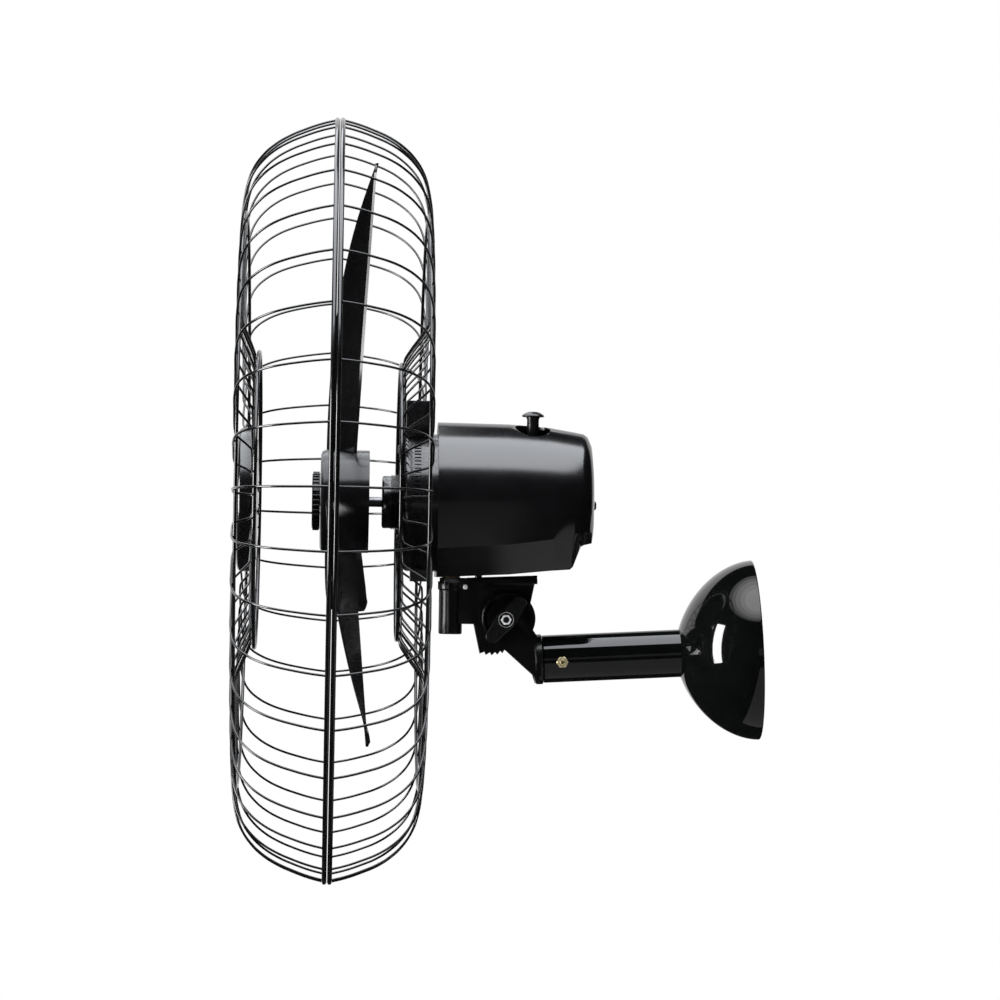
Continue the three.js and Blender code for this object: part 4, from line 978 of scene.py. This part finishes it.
def wing_knob():
    """The ribbed knob on the tilt bolt, and the nut and washer sunk in its middle."""
    end, middle = KNOB_WIDTH / 2 - 0.6, KNOB_WIDTH / 2 + 2
    reach = KNOB_LENGTH / 2 - end

    def leaf(*levels):
        """A long oval: a round middle drawn out to two smaller round ends.

        Each level is how far its outline is drawn in and where it lies.
        """
        lean = degrees(acos((middle - end) / reach))
        rings = []
        for shrink, x in levels:
            points = []
            for side in (0, 180):
                centre = (reach * cos(radians(side)), 0)
                points += arc(centre, end - shrink, side - lean, side + lean, 14)
                points += arc((0, 0), middle - shrink, side + lean, side + 180 - lean, 6)
            rings.append([(x, a, b) for a, b in points])
        return lofted(rings)

    out = KNOB_OUT
    rim = turned([(0, KNOB_IN), (middle, KNOB_IN), (middle, out - 0.7), (middle - 0.2, out - 0.2),
                  (middle - 0.7, out), (0, out)], "x", 64)
    wing = leaf((0, KNOB_IN), (0, out - 1), (0.15, out - 0.55), (0.45, out - 0.28), (0.85, out - 0.2))
    body = joined(wing, rim)
    face = cut(leaf((1.4, out - 1), (1.3, out + 1)), rod("x", middle - 0.4, 0, 60, steps=64))
    recess = rod("x", middle - 1.8, out - 3.4, 60, steps=48)
    bore = rod("x", TILT_BOLT + 0.3, 0, 60, steps=32)
    knob = cut(body, face, recess, bore)
    recipe = Recipe("knob_ribs")
    count, start, step, radius, length = recipe.entries(
        Ribs="Int", First_rib="Vector", Rib_step="Vector", Rib_radius="Float", Rib_length="Float")
    rib = recipe.add("GeometryNodeMeshCylinder", {"Vertices": 8, "Radius": radius, "Depth": length})
    recipe.close(row_of_copies(recipe, rib.outputs[0], count, start, step))
    sides = [
        recipe.run("knob_plastic", {
            "Ribs": 8, "Rib radius": 0.4, "Rib length": 2 * end - 3.2,
            "First rib": (out - 1, side * (middle + 0.8), 0), "Rib step": (0, side * 1.32, 0)})
        for side in (-1, 1)]
    shape = gathered(knob, *sides)
    moved(shape, Matrix.Rotation(radians(KNOB_ANGLE), 4, "X"), Matrix.Translation(PIVOT))
    settle(shape, "tilt_wing_knob", "wing_knob", "knob_plastic", ["tilt_knob"], corner=radians(40))
    washer = turned([(5.7, out - 3.3), (6.1, out - 3.3), (6.1, out - 0.9), (5.7, out - 0.9)], "x", 64, PIVOT)
    nut = gathered(hexagon("x", 4.3, out - 2.9, out + 0.6, PIVOT, TILT_BOLT + 0.2), washer)
    settle(nut, "knob_nut", "wing_knob", "zinc_fastener", ["tilt_nut"], bevel=0.12)


def drilled(bolt, radius, end, at):
    """A bolt with a hole down the middle of its near end."""
    return cut(bolt, rod("x", radius, end - 7, end + 1, at, 32))


def bolts():
    """The tilt bolt through the yoke, and the bolt and nut through the tube."""
    out = CHEEK_OUTER
    bolt = rod("x", TILT_BOLT, -out - 2, KNOB_OUT - 0.5, PIVOT, 40)
    head = hexagon("x", 5, -out - 3.9, -out - 0.3, PIVOT)
    pin = drilled(joined(bolt, head), 2.1, KNOB_OUT, PIVOT)
    settle(pin, "tilt_pin", "wall_arm", "ground_steel", ["tilt_bolt"], bevel=0.12)
    x = TUBE_RADIUS + 0.3
    bolt = rod("x", 2.4, -x - 1, CROSS_BOLT_END, CROSS_BOLT, 40, soften=0.5)
    head = hexagon("x", 4.8, -x - 3.2, -x, CROSS_BOLT)
    pin = drilled(joined(bolt, head), 1.5, CROSS_BOLT_END, CROSS_BOLT)
    settle(pin, "cross_bolt", "wall_arm", "yellow_zinc_fastener", ["arm_bolt"], bevel=0.12)
    nut = hexagon("x", 4.8, x, x + 3.2, CROSS_BOLT, 2.7)
    settle(nut, "cross_nut", "wall_arm", "yellow_zinc_fastener", ["arm_nut"], bevel=0.12)


wing_knob()
bolts()


# ---------------------------------------------------------------- wall plate
WALL_SCREW_CIRCLE, WALL_SCREW = 48, 3


def wall_plate():
    """The plate behind the canopy, its socket for the tube, and the three screws into the wall."""
    r, back = PLATE_RADIUS, PLATE_THICK
    plate = turned([(0, 0), (r - 0.6, 0), (r, -0.6), (r, 1 - back), (r - 1, -back), (0, -back)], steps=144)
    socket = ring("y", 12, TUBE_RADIUS - TUBE_WALL - 0.3, -45, 1 - back, steps=96)
    places = around(WALL_SCREW_CIRCLE, (0, -120, -240))
    holes = [rod("y", WALL_SCREW + 0.3, -back - 1, 1, at, 32) for at in places]
    holes += [rod("y", 6, -back - 1, 1, (-34, 0, -20), 48), rod("x", 2.3, 9, TUBE_RADIUS, (0, -30, 0), 24)]
    plate = cut(joined(plate, socket), *holes)
    settle(plate, "backplate", "wall_arm", "satin_casting", ["wall_plate"])
    for i, at in enumerate(places):
        shank = rod("y", WALL_SCREW, -back - 2, -0.3, at, 32)
        head = hexagon("y", 5.8, -back - 4.3, -back - 0.3, at)
        settle(joined(shank, head), f"wall_fixing_{i + 1}", "wall_arm", "zinc_fastener",
               [f"wall_screw_{i + 1}"], bevel=0.15)


wall_plate()


# ---------------------------------------------------------------- small screws
def pan_head(radius, shank, reach, place):
    """A screw with a domed head and a cross recess, pointing along +Y from its head's seat."""
    height = radius * 0.5
    head = turned([(0, 0), (radius, 0), (radius, -height * 0.3), (radius * 0.8, -height * 0.8),
                   (radius * 0.4, -height), (0, -height)], steps=32)
    slots = [block((-radius * a, radius * a), (-height - 1, -height * 0.45), (-radius * b, radius * b))
             for a, b in ((0.62, 0.11), (0.11, 0.62))]
    return moved(joined(cut(head, *slots), rod("y", shank, -0.2, reach, steps=24)), place)


def small_screws():
    """The screws of the badge, the cage, the housing's back and the neck."""
    recipe = Recipe("screw_places")
    screw, count, first, step = recipe.entries(Screw="Object", Screws="Int", First="Vector", Step="Vector")
    shape = recipe.add("GeometryNodeObjectInfo", {"Object": screw}).outputs["Geometry"]
    recipe.close(row_of_copies(recipe, shape, count, first, step))
    turn_back = Matrix.Rotation(pi, 4, "Z")

    pattern = pan_head(3, 1, 1.3, turn_back)
    pair = recipe.run("dark_screw", {
        "Screw": pattern, "Screws": 2, "First": (0, -60.4, -9), "Step": (0, 0, 18)})
    bpy.data.objects.remove(pattern)
    settle(pair, "badge_fixings", "head", "dark_screw", ["badge_screw_1", "badge_screw_2"])
    for i, at in enumerate(around(CAGE_SCREW_CIRCLE, CAGE_SCREW_TURNS)):
        screw = pan_head(4, 2, 5.8, Matrix.Translation((at[0], 52.6, at[2])))
        settle(screw, f"cage_fixing_{i + 1}", "head", "dark_screw", [f"grille_screw_{i + 1}"])
    screw = pan_head(3.6, 2, 8.6, Matrix.Translation((0, 208.7, 0)) @ turn_back)
    settle(screw, "cap_fixing", "head", "dark_screw", ["housing_screw"])
    to_side = Matrix.Translation((7.5, 106.3, -66.6)) @ Matrix.Rotation(pi / 2, 4, "Z")
    screw = pan_head(2, 1.2, 0.2, to_side)
    settle(screw, "neck_fixing", "neck", "zinc_fastener", ["neck_screw"])


small_screws()


def hub_plate():
    """The disc that the rear grille's wires end on."""
    disc = turned([
        (23.5, 53.4), (24, 52.9), (47.8, 52.9), (48.4, 53.4), (48.4, 55.2), (47.8, 55.7), (23.5, 55.7)],
        steps=128)
    holes = [rod("y", 2.3, 50, 60, at, 24) for at in around(CAGE_SCREW_CIRCLE, CAGE_SCREW_TURNS)]
    settle(cut(disc, *holes), "cage_hub_plate", "head", "wire_enamel", ["grille_hub_plate"])


hub_plate()


# ---------------------------------------------------------------- the close
FLOOR, FLOOR_RADIUS, FLOOR_CENTRE = -0.46, 1.5, -0.2  # metres
FLOOR_SIDES = 96


def floor():
    """A pale round floor that the black enamel doesn't mirror."""
    mesh = bpy.data.meshes.new("floor")
    *edge, _ = arc((0, FLOOR_CENTRE), FLOOR_RADIUS, 0, 360, FLOOR_SIDES)
    mesh.from_pydata([(x, y, FLOOR) for x, y in edge], [], [tuple(range(FLOOR_SIDES))])
    mesh.materials.append(finish("pale_floor", (0.8, 0.8, 0.79), 0.6, tint=0.01, bump=0.02))
    ground = placed("floor", mesh)
    ground.visible_glossy = False


floor()
